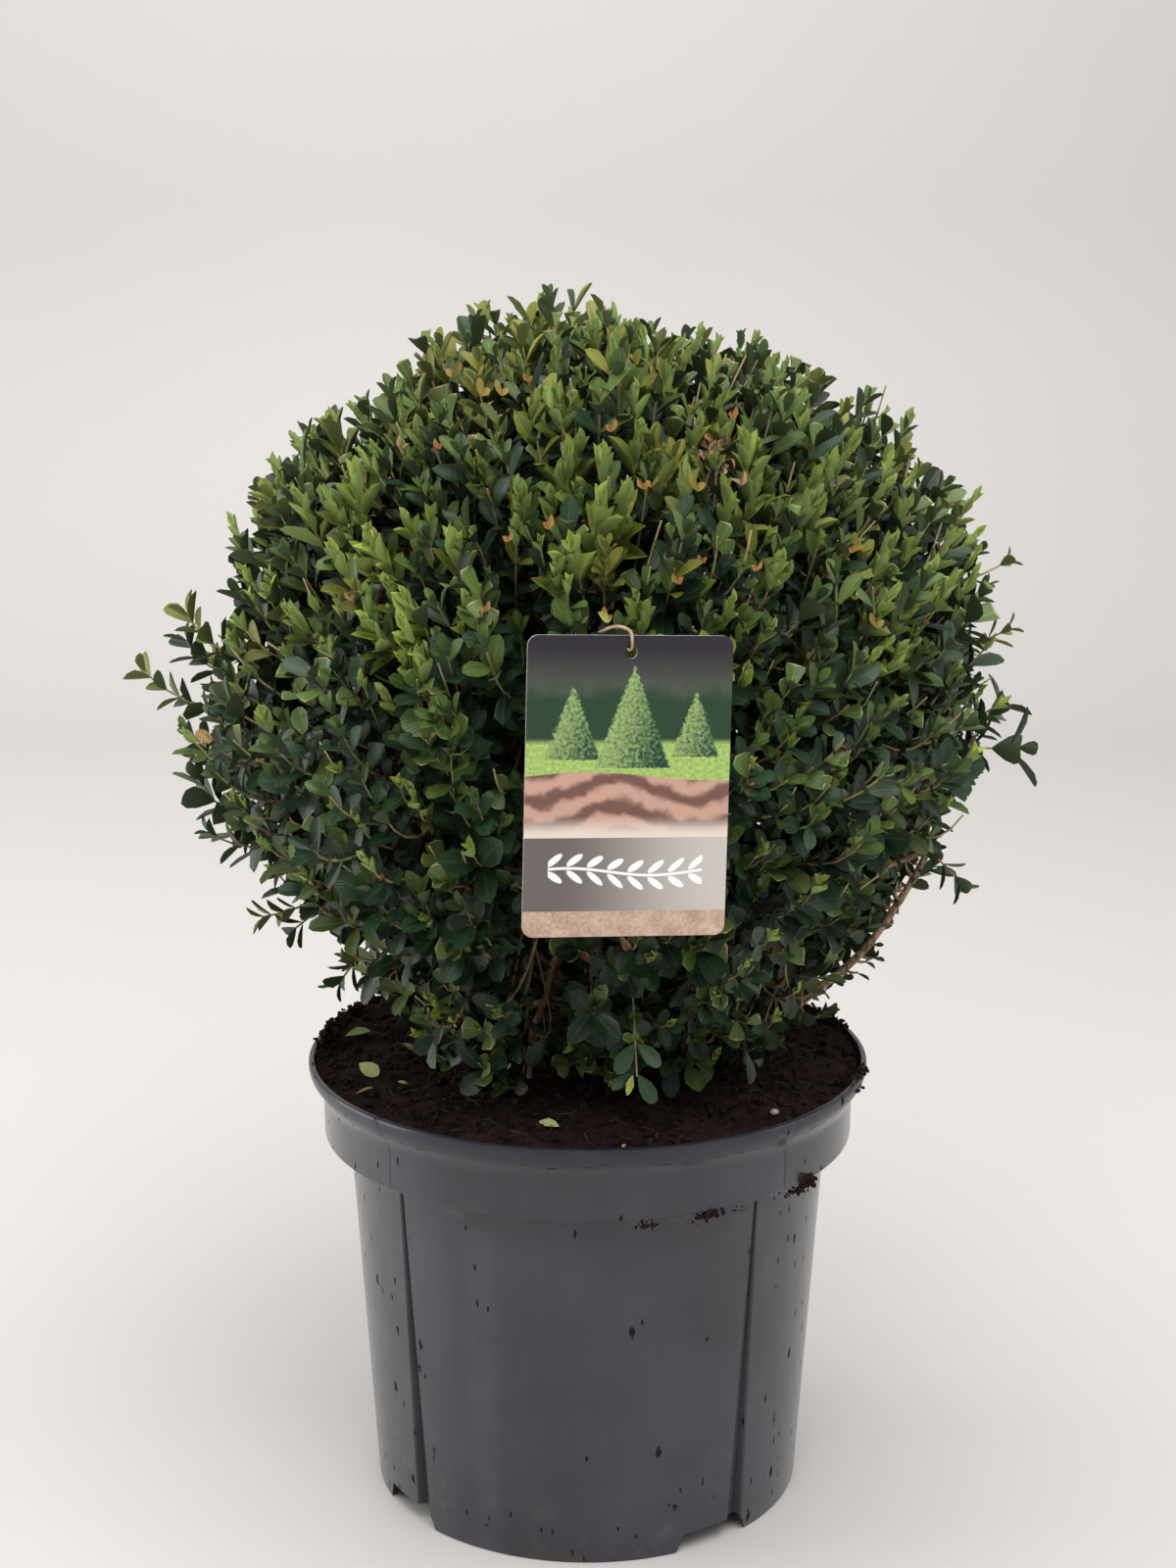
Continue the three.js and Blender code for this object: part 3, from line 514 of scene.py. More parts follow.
# Each bough: its mass's node, its route, its radii at foot and tip, and the stem inside its mass
BOUGHS = {
    "bough_right": (
        "foliage_right",
        [[0.0115, -0.004, 0.205], [0.045, -0.008, 0.203], [0.081, -0.006, 0.2100], [0.094, -0.004, 0.2200],
         [0.119, -0.003, 0.2412], [0.1375, -0.002, 0.2685], [0.1485, 0, 0.289]],
        (0.0024, 0.0014),
        [[0.149, 0, 0.300], [0.135, 0, 0.322], [0.112, 0, 0.345]],
    ),
    "bough_front": (
        "foliage_front",
        [[-0.0255, -0.005, FRONT_FOOT], [-0.0225, -0.007, 0.211], [-0.0180, -0.009, 0.2235],
         [-0.0145, -0.013, 0.238], [0.004, -0.042, 0.270]],
        (0.0016, 0.0019),
        [[0.007, -0.052, 0.286], [0.010, -0.080, 0.312], [0.010, -0.105, 0.336]],
    ),
    "bough_left": (
        "foliage_left",
        [[-0.0025, 0.002, 0.220], [-0.022, -0.002, 0.238], [-0.044, -0.006, 0.264], [-0.058, -0.008, 0.292]],
        (0.0032, 0.0021),
        [[-0.064, -0.010, 0.306], [-0.082, -0.014, 0.330], [-0.106, -0.016, 0.352]],
    ),
    "bough_back": (
        "foliage_back",
        [[0.0075, 0.009, 0.224], [0.010, 0.024, 0.242], [0.009, 0.042, 0.266], [0.006, 0.054, 0.292]],
        (0.0032, 0.0021),
        [[0.004, 0.060, 0.306], [0.002, 0.080, 0.332], [0, 0.104, 0.356]],
    ),
    "bough_top": (
        "foliage_top",
        [[0.007, 0.002, STEM_FOOT + 0.0386], [0.010, 0, 0.262], [0.005, -0.004, 0.318],
         [0.004, -0.001, 0.384], [0.005, 0, 0.424]],
        (0.0046, 0.0024),
        [[0.005, 0, 0.425], [0.005, 0, 0.445], [0.006, 0, 0.470]],
    ),
}
# Two boughs that show: how far they are from the camera, and half the gap in the leaves before them
FRONT_DISTANCE = 1.057
FRONT_OPENING = 0.0046
BARE_DISTANCE = 1.062
BARE_OPENING = 0.0056
BARE_BOUGH = np.array(BOUGHS["bough_right"][1])[2:]
# The sectors of the ball, by their angles round the stem, in degrees. The top one is a cone.
SECTORS = {
    "bough_right": (-48, 38),
    "bough_back": (38, 150),
    "bough_left": (150, 258),
    "bough_front": (258, 312),
}
TOP_HALF_ANGLE = 41
# Shoots that outgrew the clipping: angle round the stem, how far out and how high the leafy part
# begins and ends, the size of its leaves, the distance between them and their tone
STRAY_SHOOTS = [
    (180, 0.167, 0.338, 0.1895, 0.3655, 0.95, 1.05, "olive"),
    (183, 0.156, 0.366, 0.169, 0.391, 1.05, 0.9, "olive"),
    (178, 0.160, 0.352, 0.172, 0.378, 1.0, 0.9, "dark"),
    (184, 0.134, 0.276, 0.163, 0.2975, 0.90, 1.5, "dark"),
    (188, 0.112, 0.266, 0.141, 0.262, 0.80, 0.9, "olive"),
    (186, 0.116, 0.264, 0.127, 0.255, 0.85, 1.2, "dark"),
    (190, 0.102, 0.243, 0.109, 0.232, 0.85, 1.2, "dark"),
    (358, 0.160, 0.331, 0.184, 0.334, 1.15, 1.2, "dark"),
    (3, 0.154, 0.398, 0.179, 0.412, 0.72, 1.5, "olive"),
    (1, 0.162, 0.372, 0.179, 0.384, 0.72, 0.8, "olive"),
    (352, 0.151, 0.293, 0.160, 0.278, 0.95, 1.3, "dark"),
    (84, 0.158, 0.326, 0.182, 0.352, 1.0, 1.2, "dark"),
    (118, 0.154, 0.366, 0.176, 0.398, 0.95, 1.0, "olive"),
    (232, 0.152, 0.300, 0.170, 0.322, 0.95, 1.1, "dark"),
]
# Places low in the crown that more shoots fill: their middle, their spread and the shoots there
FILLED_PLACES = [
    ((0.092, 0.018, 0.226), 0.004, 8), ((0.101, 0.016, 0.238), 0.004, 12),
    ((0.112, 0.016, 0.250), 0.004, 14), ((0.122, 0.015, 0.263), 0.004, 14),
    ((0.130, 0.012, 0.280), 0.005, 12), ((0.119, -0.016, 0.266), 0.005, 8),
    ((0.004, -0.055, 0.222), 0.009, 16), ((0.024, -0.060, 0.224), 0.009, 10),
    ((-0.040, -0.052, 0.226), 0.009, 12), ((-0.026, 0.045, 0.228), 0.006, 8),
    ((-0.042, 0.045, 0.322), 0.006, 6), ((-0.140, 0.020, 0.427), 0.005, 4),
    ((0.092, 0.014, 0.240), 0.007, 22), ((0.106, 0.014, 0.252), 0.007, 24),
    ((0.120, 0.014, 0.266), 0.007, 22), ((0.132, 0.012, 0.286), 0.008, 18),
    ((0.140, 0.008, 0.308), 0.008, 8), ((-0.012, 0.050, 0.262), 0.022, 26),
    ((-0.020, 0.015, 0.290), 0.016, 14), ((0.040, 0.030, 0.250), 0.020, 14),
]
# A narrow cleft in the front of the crown: its angle round the stem, its half width, and its depth
CLEFT = (math.radians(258.0), math.radians(4.6))
CLEFT_DEPTH = 0.34
# How strongly an arm draws its shoots together, how near the clipped surface they end, and how far
# above the soil the lowest ones do
ARM_PULL = 0.28
CLIPPED_SHARE = 0.955
SOIL_CLEARANCE = 0.006
INNER_SHOOTS = 150
# Shares: bare shoots, clipped ones, leaves missing from their pairs, and leaves left out of a gap
BARE_SHARE = 0.13
CUT_SHARE = 0.38
MISSING_SHARE = 0.05
THINNED_SHARE = 0.88
# Shares of the grown leaves: the yellow ones, and the yellow and withered ones together
YELLOWED_SHARE = 0.0035
WORN_SHARE = 0.0125
SCALE_EXTENT = (0.0016, 0.0034, 0.003)


def sector_of(direction):
    """The bough that carries the part of the ball in a direction."""
    if math.degrees(math.acos(max(-1, min(1, direction[2])))) < TOP_HALF_ANGLE:
        return "bough_top"
    turn = math.degrees(math.atan2(direction[1], direction[0])) % 360
    for name, (start, end) in SECTORS.items():
        if start <= turn < end or start <= turn - 360 < end:
            return name
    return "bough_right"


def from_camera(point, distance):
    """Across and up, where the line of sight through a point meets the plane at a distance."""
    nearer = distance / (point[1] - CAMERA_PLACE[1])
    return point[0] * nearer, CAMERA_PLACE[2] + (point[2] - CAMERA_PLACE[2]) * nearer


def before_stem(point):
    """True in the gap in the foliage before the front bough."""
    across, up = from_camera(point, FRONT_DISTANCE)
    middle = np.interp(up, (0.196, 0.2235, 0.238), (-0.0250, -0.0180, -0.0145))
    return point[1] < -0.037 and 0.199 < up < 0.239 and abs(across - middle) < FRONT_OPENING


def before_bough(point):
    """True in the gap in the foliage that shows the bare part of the right bough from the front."""
    across, up = from_camera(point, BARE_DISTANCE)
    level = np.interp(across, BARE_BOUGH[:, 0], BARE_BOUGH[:, 2])
    return point[1] < -0.004 and 0.088 < across < 0.146 and abs(up - level) < BARE_OPENING


class Growth:
    """The twigs and leaves of the plant, grown outwards from its boughs by one rule."""

    def __init__(self, settings):
        self.settings = settings
        self.random = np.random.default_rng(settings.seed)
        self.thinning = np.random.default_rng(settings.seed + 1)
        self.lines = {"old": [], "young": [], "straw": [], "front": []}
        self.leaves = {}
        self.stems = {
            name: smooth_route([*route[-2:], *into], 26)
            for name, (_, route, _, into) in BOUGHS.items()
        }
        for name, stem in self.stems.items():
            tip = BOUGHS[name][2][1]
            self.lines["old"].append((stem, np.linspace(tip, 0.0012, len(stem))))
        self.grow_arms()
        self.grow_shoots()
        self.grow_inner_shoots()
        self.fill_places()
        self.grow_strays()
        self.grow_spurs()
        self.grow_dead_spot()
        self.set_front_pieces()

    def grow_arms(self):
        """Arms run from the stem of each mass to well inside the surface."""
        directions = lattice(self.settings.arm_count, -0.9, self.random, 0.05)
        self.arms = []
        for direction in directions:
            name = sector_of(direction)
            stem = self.stems[name]
            share = self.random.uniform(0.52, 0.70)
            end = BALL_CENTRE + direction * clipped_reach(direction) * share
            end[2] = max(end[2], 0.203)
            nearest = int(np.argmin(np.linalg.norm(stem - end + [0, 0, 0.04], axis=1)))
            start = stem[max(nearest, 6)]
            bend = start + (end - start) * 0.5 + [0, 0, -0.008] + self.random.normal(0, 0.003, 3)
            path = bezier(start, bend, end, 8)
            self.arms.append((direction, path))
            self.lines["old"].append((path, np.linspace(0.0014, 0.0008, len(path))))
        self.arm_directions = np.array([direction for direction, _ in self.arms])

    def nearest_arm(self, direction):
        return int(np.argmax(self.arm_directions @ direction))

    def grow_shoots(self):
        """Leafy shoots run from the arms out through the surface, and turn upwards."""
        random = self.random
        directions = lattice(self.settings.shoot_count, -0.93, random, 0.030)
        swell = np.clip(random.normal(0, 0.034, len(self.arms)), -0.07, 0.06)
        for direction in directions:
            nearest = self.nearest_arm(direction)
            direction = unit(direction + ARM_PULL * self.arm_directions[nearest])
            share = CLIPPED_SHARE + swell[nearest] - abs(random.normal(0, 0.024))
            if random.random() < 0.12 + 0.33 * (direction[2] > 0.88):
                share += random.uniform(0.015, 0.058)
            if direction[2] < -0.55 and random.random() < 0.35:
                continue
            airy = 0.24 if direction[0] < 0 else 0.12
            if abs(direction[0]) > 0.72 and direction[2] < 0.42 and random.random() < airy:
                continue
            turn = math.atan2(direction[1], direction[0]) % (2 * math.pi)
            aside = turn - CLEFT[0]
            if abs(aside) < CLEFT[1] and -0.9 < direction[2] < 0.42:
                share -= CLEFT_DEPTH * (1 - (aside / CLEFT[1]) ** 2)
            end = BALL_CENTRE + direction * clipped_reach(direction) * share
            floor = float(soil_height(end[0], end[1])) + SOIL_CLEARANCE
            if end[2] < floor - 0.022:
                continue
            end[2] = max(end[2], floor + random.uniform(0, 0.012))
            if before_stem(end):
                continue
            arm = self.arms[nearest][1]
            start = arm[random.integers(3, len(arm))]
            path = self.risen(direction, start, end, 0.15, 0.55)
            if not any(before_stem(point) for point in path):
                self.shoot(direction, path)

    def risen(self, direction, start, end, spread, share):
        """A path that ends the way that shoots grow there, give or take a spread."""
        heading = growth(direction)
        if spread:
            heading = unit(heading + self.random.normal(0, spread, 3))
        bend = end - heading * np.linalg.norm(end - start) * share
        return bezier(start, bend, end, 8)

    def grow_inner_shoots(self):
        """Shoots that end inside the ball, behind the others."""
        for direction in lattice(INNER_SHOOTS, -0.3, self.random, 0.1):
            arm = self.arms[self.nearest_arm(direction)][1]
            end = BALL_CENTRE + direction * clipped_reach(direction) * self.random.uniform(0.50, 0.80)
            self.shoot(direction, self.risen(direction, arm[3], end, 0, 0.5))

    def fill_places(self):
        """More shoots where the photo shows the crown closed, low down and at its flanks."""
        for centre, spread, count in FILLED_PLACES:
            for _ in range(count):
                end = np.array(centre) + self.random.normal(0, spread, 3)
                direction = unit(end - BALL_CENTRE)
                arm = self.arms[self.nearest_arm(direction)][1]
                self.shoot(direction, self.risen(direction, arm[-2], end, 0.2, 0.5))

    def grow_strays(self):
        """The shoots that stand out past the clipped surface, each listed."""
        for degrees, near, low, out, height, size, gap, tone in STRAY_SHOOTS:
            turn = math.radians(degrees)
            outward = np.array([math.cos(turn), math.sin(turn), 0])
            foot, end = outward * near + [0, 0, low], outward * out + [0, 0, height]
            direction = unit(end - BALL_CENTRE)
            arm = self.arms[self.nearest_arm(unit(foot - BALL_CENTRE))][1]
            leafy = float(np.linalg.norm(end - foot))
            self.shoot(direction, bezier(arm[-1], foot, end, 12), tone, size, gap, leafy)

    def set_front_pieces(self):
        """The twigs, leaves and small bits that have their own places on the front."""
        for places, radii in FRONT_TWIGS:
            self.lines["front"].append((smooth_route(places, 24), np.linspace(*radii, 24)))
        for kind, place, axis, length, width, tint in FRONT_LEAVES:
            self.faced_leaf(kind, place, axis, (0, -0.8, 0.6), (width, length, length), tint)
        for number, (kind, place, length) in enumerate(ACCENTS):
            sway = math.sin(2.4 * number + 0.5)
            other_way = 0.6 * sway - math.copysign(1.1, sway)
            for lean, shorter, tint in ((0.6 * sway, 1.0, 0.7), (other_way, 0.6, 0.4)):
                extent = (length * 0.42, length * shorter, length)
                self.faced_leaf(kind, place, (lean, -0.25, 1.0), (sway, -1.0, 0.3), extent, tint)

    def faced_leaf(self, kind, place, axis, face, extent, tint):
        """A leaf along an axis, with its face turned as far as it can be to a direction."""
        axis, face = unit(np.array(axis)), np.array(face)
        self.add(kind, np.array(place), axis, unit(face - axis * float(axis @ face)), extent, tint)

    def grow_dead_spot(self):
        """A few dead leaves held together at the top of the crown."""
        random = self.random
        for _ in range(34):
            point = DEAD_SPOT + random.normal(0, 1, 3) * [0.0046, 0.0030, 0.0032]
            axis = unit(random.normal(0, 1, 3) + [0, 0, 0.3])
            face = unit(np.cross(axis, random.normal(0, 1, 3)))
            length = random.uniform(0.0028, 0.0060)
            extent = (length * 0.55, length, length * 1.4)
            self.add("withered", point, axis, face, extent, 0.6 * random.random())

    def grow_spurs(self):
        """Spurs along the bare bough at the right: short ones below, and leafier ones near its tip."""
        random = self.random
        route = smooth_route(BOUGHS["bough_right"][1], 60)
        for k in (30, 32, 34, 35, 37, 39, 40, 42, 43, 45, 46, *range(48, 59)):
            leafy = k > 47
            heading = unit(route[k + 1] - route[k])
            spread = random.normal(0, 1, 3) + ([-0.7, -1.0, 0.5] if leafy else [1.2, 0.6, -1.2])
            side = unit(spread - heading * float(spread @ heading))
            length = random.uniform(*((0.008, 0.015) if leafy else (0.003, 0.008)))
            end = route[k] + (side * 0.85 + heading * 0.5) * length
            size = random.uniform(*((0.80, 1.05) if leafy else (0.45, 0.66)))
            path = bezier(route[k], route[k] + side * length * 0.6, end, 6)
            self.shoot(side, path, "dark", size, 1.0, length if leafy else 0.004)

    def shoot(self, direction, path, tone=None, size=1.0, gap=1.0, leafy=None):
        """A shoot along a path. One with a tone outgrew the rest; one without may be clipped or bare."""
        join = 3
        bare = tone is None and self.random.random() < BARE_SHARE
        kind = "straw" if bare else "old" if direction[2] < -0.3 else "young"
        self.lines[kind].append((path[join - 1:], np.linspace(0.0007, 0.0004, len(path) - join + 1)))
        self.lines["old"].append((path[:join], np.linspace(0.0009, 0.0007, join)))
        self.dress(direction, path, tone, size, gap, leafy or self.settings.leafy_length, bare)

    def dress(self, direction, path, tone, size, gap, leafy, bare):
        """Sets the leaf pairs of a shoot, from its tip backwards."""
        random = self.random
        along = distances(path)
        total = along[-1]
        up, front = direction[2], -direction[1]
        high = float(smoothstep(up, -0.15, 0.45))
        fresh_chance = 0.10 + 0.27 * smoothstep(up, -0.1, 0.30) * (1 - 0.55 * smoothstep(up, 0.55, 0.9))
        fresh_chance += 0.10 * smoothstep(front, 0.4, 0.9) * smoothstep(up, 0.1, 0.4) * 1.4
        tipped_chance = 0.34 - 0.14 * smoothstep(up, 0.4, 0.8)
        large_chance = 0.20 - 0.18 * smoothstep(up, 0.3, 0.7)
        stray = tone is not None
        state = "fresh" if random.random() < fresh_chance and not stray else "plain"
        if state == "plain" and not stray and random.random() < CUT_SHARE:
            state = "cut"
        tone = tone or self.shoot_tone(direction)
        light = random.random()
        size *= random.uniform(0.82, 1.08)
        size *= 1.2 if random.random() < large_chance and not stray else 1.0
        tipped = state == "plain" and not stray and random.random() < tipped_chance
        roll = random.uniform(0, math.pi)
        gaps = []
        if state == "fresh":
            gaps = [0.0012] + [0.0026 + 0.0011 * k for k in range(1, int(random.integers(3, 6)))]
        elif state == "plain":
            gaps = [0.001, 0.0035]
        young = len(gaps)
        habit = {
            "state": state, "tone": tone, "light": light, "size": size, "stray": stray, "tipped": tipped,
            "young": young, "direction": direction,
        }
        back = random.uniform(0.008, 0.018) if bare else 0.0
        level = 0
        while back < min(total - 0.004, leafy):
            if level < young:
                back += gaps[level]
            else:
                back += random.uniform(0.0046, 0.0084) * (1 + 0.2 * high) * gap
            place = total - back
            if place < 0.003:
                break
            point = np.array([np.interp(place, along, path[:, k]) for k in range(3)])
            index = int(np.clip(np.searchsorted(along, place) - 1, 0, len(path) - 2))
            heading = unit(path[index + 1] - path[index])
            side = unit(np.cross(heading, [0.31, 0.22, 0.92]))
            other = np.cross(heading, side)
            if state == "fresh" and level == young:
                self.scales(point, heading, side, other)
            for half in (0, math.pi):
                angle = roll + half + random.normal(0, 0.16)
                if level < young or random.random() >= MISSING_SHARE:
                    outward = side * math.cos(angle) + other * math.sin(angle)
                    self.leaf(point, heading, outward, habit, level, back)
            roll += math.pi / 2 + random.normal(0, 0.12)
            level += 1

    def shoot_tone(self, direction):
        """Upper shoots are olive or mid green, more so at the left, and lower ones are dark."""
        up = direction[2]
        olive = 0.16 * smoothstep(up, 0.05, 0.4)
        olive += 0.42 * smoothstep(up, 0.5, 0.85) * (0.75 - 0.5 * direction[0])
        green = 0.12 + 0.34 * smoothstep(up, -0.15, 0.4)
        draw = self.random.random()
        return "olive" if draw < olive else "green" if draw < olive + green else "dark"

    def scales(self, point, heading, side, other):
        """Small bud scales where this year's growth begins."""
        for k in range(3):
            angle = k * 2.1 + self.random.uniform(0, 1)
            outward = side * math.cos(angle) + other * math.sin(angle)
            axis = unit(heading * 0.8 + outward * 0.6)
            self.add("bud_scales", point, axis, outward * -1, SCALE_EXTENT, self.random.random())

    def leaf(self, point, heading, outward, habit, level, back):
        """One leaf of a pair: new at the tip, young below it, and grown or worn further back."""
        random = self.random
        direction, tone, state = habit["direction"], habit["tone"], habit["state"]
        stray = habit["stray"]
        up = direction[2]
        high = float(smoothstep(up, -0.15, 0.45))
        showy = high * float(smoothstep(-direction[1], 0.2, 0.7))
        if level < habit["young"] and state == "fresh":
            lean = math.radians(9 + 8 * level + random.uniform(-5, 7))
            length = (0.0070 + 0.0014 * level) * (1 + 0.55 * showy) * random.uniform(0.85, 1.15)
            width = length * random.uniform(0.29, 0.37)
            kind = "fresh"
            turned = 0.05
        elif level < habit["young"]:
            lean = math.radians(20 + 8 * level + 22 * stray + random.uniform(-6, 8))
            length = (0.0082 + 0.003 * level) * (1 + 0.35 * stray) * random.uniform(0.85, 1.15)
            width = length * random.uniform(0.38, 0.50)
            kind = f"{'green' if tone == 'dark' and not stray else tone}_narrow"
            if habit["tipped"]:
                kind, length, width = "fresh", length * 0.78, width * 0.68
            turned = 0.1
        else:
            age = min(1.0, back / 0.035)
            lean = math.radians(27 + 20 * age + 14 * (1 - high) + random.uniform(-12, 14))
            length = (0.0142 + 0.0012 * high) * random.uniform(0.74, 1.13)
            width = length * random.uniform(0.50, 0.62) * (1 - 0.20 * high)
            turned = 0.12 + 0.33 * (1 - high)
            if back > 0.024 or random.random() < 0.12:
                tone = "dark" if tone != "olive" else "green"
            narrow = tone == "olive" or random.random() < 0.20 + 0.6 * high
            kind = f"{tone}_{'narrow' if narrow else 'broad'}"
            if back > 0.021:
                kind = "shaded"
            if state == "cut" and level < 2 and random.random() < 0.6:
                kind, length = "clipped", length * 1.05
            special = random.random()
            if special < YELLOWED_SHARE:
                kind, length, width = "yellowed", length * 0.75, width * 0.7
            elif special < WORN_SHARE:
                kind, length, width = "withered", length * 0.55, width * 0.5
        length *= habit["size"]
        width *= habit["size"]
        if np.linalg.norm((point - DEAD_SPOT) * [0.85, 1, 1.2]) < 0.010:
            return
        axis = unit(heading * math.cos(lean) + outward * math.sin(lean))
        face = heading * math.sin(lean) - outward * math.cos(lean)
        skyward = unit(direction + np.array([0, 0, 0.55]))
        skyward = skyward - axis * float(skyward @ axis)
        face = unit(face + turned * skyward + random.normal(0, 0.14, 3))
        tint = 0.62 * habit["light"] + 0.38 * random.random()
        # Painted shade: leaves further back in the crown, and lower on it, get a darker colour, partly also
        # the darker green of older leaves. New leaves are made darker near the top and lighter low down.
        shade = 1 - 0.85 * float(smoothstep(back, 0.010, 0.034))
        shade *= 0.55 + 0.45 * float(smoothstep(up, -0.75, -0.2))
        if kind == "fresh":
            shade *= (1 - 0.45 * float(smoothstep(up, 0.45, 0.8))) * (1.06 - 0.12 * level)
            shade *= 1 + 0.5 * (1 - float(smoothstep(up, 0.15, 0.6)))
        self.add(kind, point, axis, face, (width, length, length), shade * tint)

    def add(self, kind, point, axis, face, extent, tint):
        """Keeps a leaf, unless it would reach into the soil, the tag, the pot or past the crown."""
        width, length, _ = extent
        across = unit(np.cross(axis, face)) * width * 0.5
        middle = point + axis * length * 0.55
        probes = np.array([point, middle + across, middle - across, point + axis * length * 1.03])
        radii = np.hypot(probes[:, 0], probes[:, 1])
        if radii.max() > REACH_LIMIT or probes[:, 2].max() > TOP_LIMIT:
            return
        ground = soil_height(probes[:, 0], probes[:, 1]) + 0.0012
        over_pot = radii < LIP_RADIUS + 0.004
        over_lip = over_pot & (radii > LIP_RADIUS - 0.008)
        ground = np.where(over_lip, np.maximum(ground, POT_HEIGHT + 0.002), ground)
        if np.any(over_pot & (probes[:, 2] < ground)) or np.any(~over_pot & (probes[:, 2] < POT_HEIGHT)):
            return
        for hides in (before_stem, before_bough):
            hidden = any(hides(place) for place in (point, middle, probes[3]))
            if hidden and self.thinning.random() < THINNED_SHARE:
                return
        if hits_tag(probes):
            return
        self.leaves.setdefault(kind, []).append((point, axis, face, extent, tint))


DEAD_SPOT = np.array([0.0455, -0.097, 0.467])
# The large pair of leaves that stands out low on the front, and the new ones at its node
FRONT_LEAVES = [
    ("dark_broad", (0.0186, -0.1020, 0.2338), (-0.50, -0.35, -0.78), 0.0142, 0.0070, 1.0),
    ("dark_broad", (0.0196, -0.1020, 0.2338), (0.70, -0.40, -0.58), 0.0132, 0.0066, 1.0),
    ("dark_broad", (0.0201, -0.1025, 0.2209), (0.50, -0.30, -0.80), 0.0134, 0.0066, 0.8),
    ("dark_narrow", (0.0175, -0.1015, 0.2209), (-0.75, -0.35, -0.50), 0.0103, 0.0050, 0.7),
    ("green_narrow", (0.0188, -0.1030, 0.2353), (0.05, -0.55, 0.60), 0.0072, 0.0033, 1.0),
    ("green_narrow", (0.0191, -0.1030, 0.2353), (-0.55, -0.45, 0.40), 0.0077, 0.0035, 0.9),
    ("fresh", (0.0180, -0.1030, 0.2209), (-0.25, -0.40, -0.85), 0.0088, 0.0033, 0.6),
    ("fresh", (0.0075, -0.1770, 0.4155), (-0.90, -0.35, -0.15), 0.0085, 0.0042, 0.9),
    ("fresh", (0.0070, -0.1765, 0.4160), (-0.55, -0.45, 0.60), 0.0070, 0.0032, 0.7),
]
# Small orange, yellow and withered bits that show on the front: kind, place and length
ACCENTS = [
    ("bud_scales", (0.0080, -0.1131, 0.4773), 0.0060),
    ("bud_scales", (-0.0147, -0.1378, 0.4442), 0.0063),
    ("bud_scales", (0.0206, -0.1292, 0.4578), 0.0056),
    ("yellowed", (0.0227, -0.1280, 0.4584), 0.0052),
    ("yellowed", (0.0400, -0.1245, 0.4566), 0.0072),
    ("bud_scales", (0.0058, -0.1552, 0.4127), 0.0067),
    ("bud_scales", (-0.0304, -0.1341, 0.4389), 0.0049),
    ("bud_scales", (0.0334, -0.1473, 0.4253), 0.0056),
    ("bud_scales", (0.0609, -0.1379, 0.4288), 0.0052),
    ("yellowed", (-0.0416, -0.0812, 0.4881), 0.0074),
    ("yellowed", (-0.0334, -0.0871, 0.4886), 0.0067),
    ("yellowed", (-0.0536, -0.0606, 0.4933), 0.0074),
    ("bud_scales", (-0.0226, -0.0859, 0.4936), 0.0049),
    ("bud_scales", (0.0553, -0.0847, 0.4798), 0.0056),
    ("bud_scales", (-0.0380, -0.1429, 0.4142), 0.0052),
    ("bud_scales", (0.0423, -0.1411, 0.4322), 0.0045),
    ("withered", (0.0561, -0.1143, 0.4575), 0.0060),
    ("bud_scales", (-0.0574, -0.0917, 0.4688), 0.0049),
    ("withered", (-0.0729, -0.0775, 0.4674), 0.0056),
    ("bud_scales", (0.0134, -0.1596, 0.3898), 0.0045),
    ("bud_scales", (-0.0893, -0.1160, 0.4141), 0.0047),
    ("bud_scales", (0.0600, -0.1488, 0.3504), 0.0056),
    ("bud_scales", (0.1008, -0.1035, 0.4311), 0.0052),
    ("yellowed", (0.1089, -0.1172, 0.4042), 0.0067),
]
# Twigs that show on their own low on the front: places along each and its radii
FRONT_TWIGS = [
    ([[0.0160, -0.072, 0.262], [0.0180, -0.092, 0.250], [0.0189, -0.102, 0.2338], [0.0197, -0.1025, 0.2200]],
     (0.0005, 0.0003)),
    ([[-0.0252, -0.033, 0.1945], [-0.0245, -0.035, 0.2062], [-0.0235, -0.035, 0.2172],
      [-0.0181, -0.035, 0.2303], [-0.0151, -0.035, 0.2455], [-0.0100, -0.038, 0.2560],
      [0.0000, -0.041, 0.2680]], (0.0011, 0.0015)),
]
TAG_TURN = Matrix.Identity(3)
for degrees, axle in TAG_TURNS:
    TAG_TURN = TAG_TURN @ Matrix.Rotation(math.radians(degrees), 3, axle)
TAG_AXES = np.array(TAG_TURN)
# Half the width and height, and the depth, of the space before the card and of the card's own space
TAG_BEFORE = (0.041, 0.0585, 0.0016)
TAG_ACROSS = (0.0405, 0.058, 0.0012)


def hits_tag(points):
    """True where a leaf's points come before the card, or lie on both sides of it within its outline."""
    held = (points - TAG_CENTRE) @ TAG_AXES
    over, up = np.abs(held[:, 0]), np.abs(held[:, 2])
    wide, high, deep = TAG_BEFORE
    if ((over < wide) & (up < high) & (held[:, 1] < deep)).any():
        return True
    wide, high, deep = TAG_ACROSS
    behind = held[:, 1] > deep
    return bool(behind.any() and not behind.all() and ((over < wide) & (up < high)).any())


def bezier(start, bend, end, count):
    share = np.linspace(0, 1, count)[:, None]
    return (1 - share) ** 2 * start + 2 * share * (1 - share) * bend + share**2 * end


# Leaf shapes

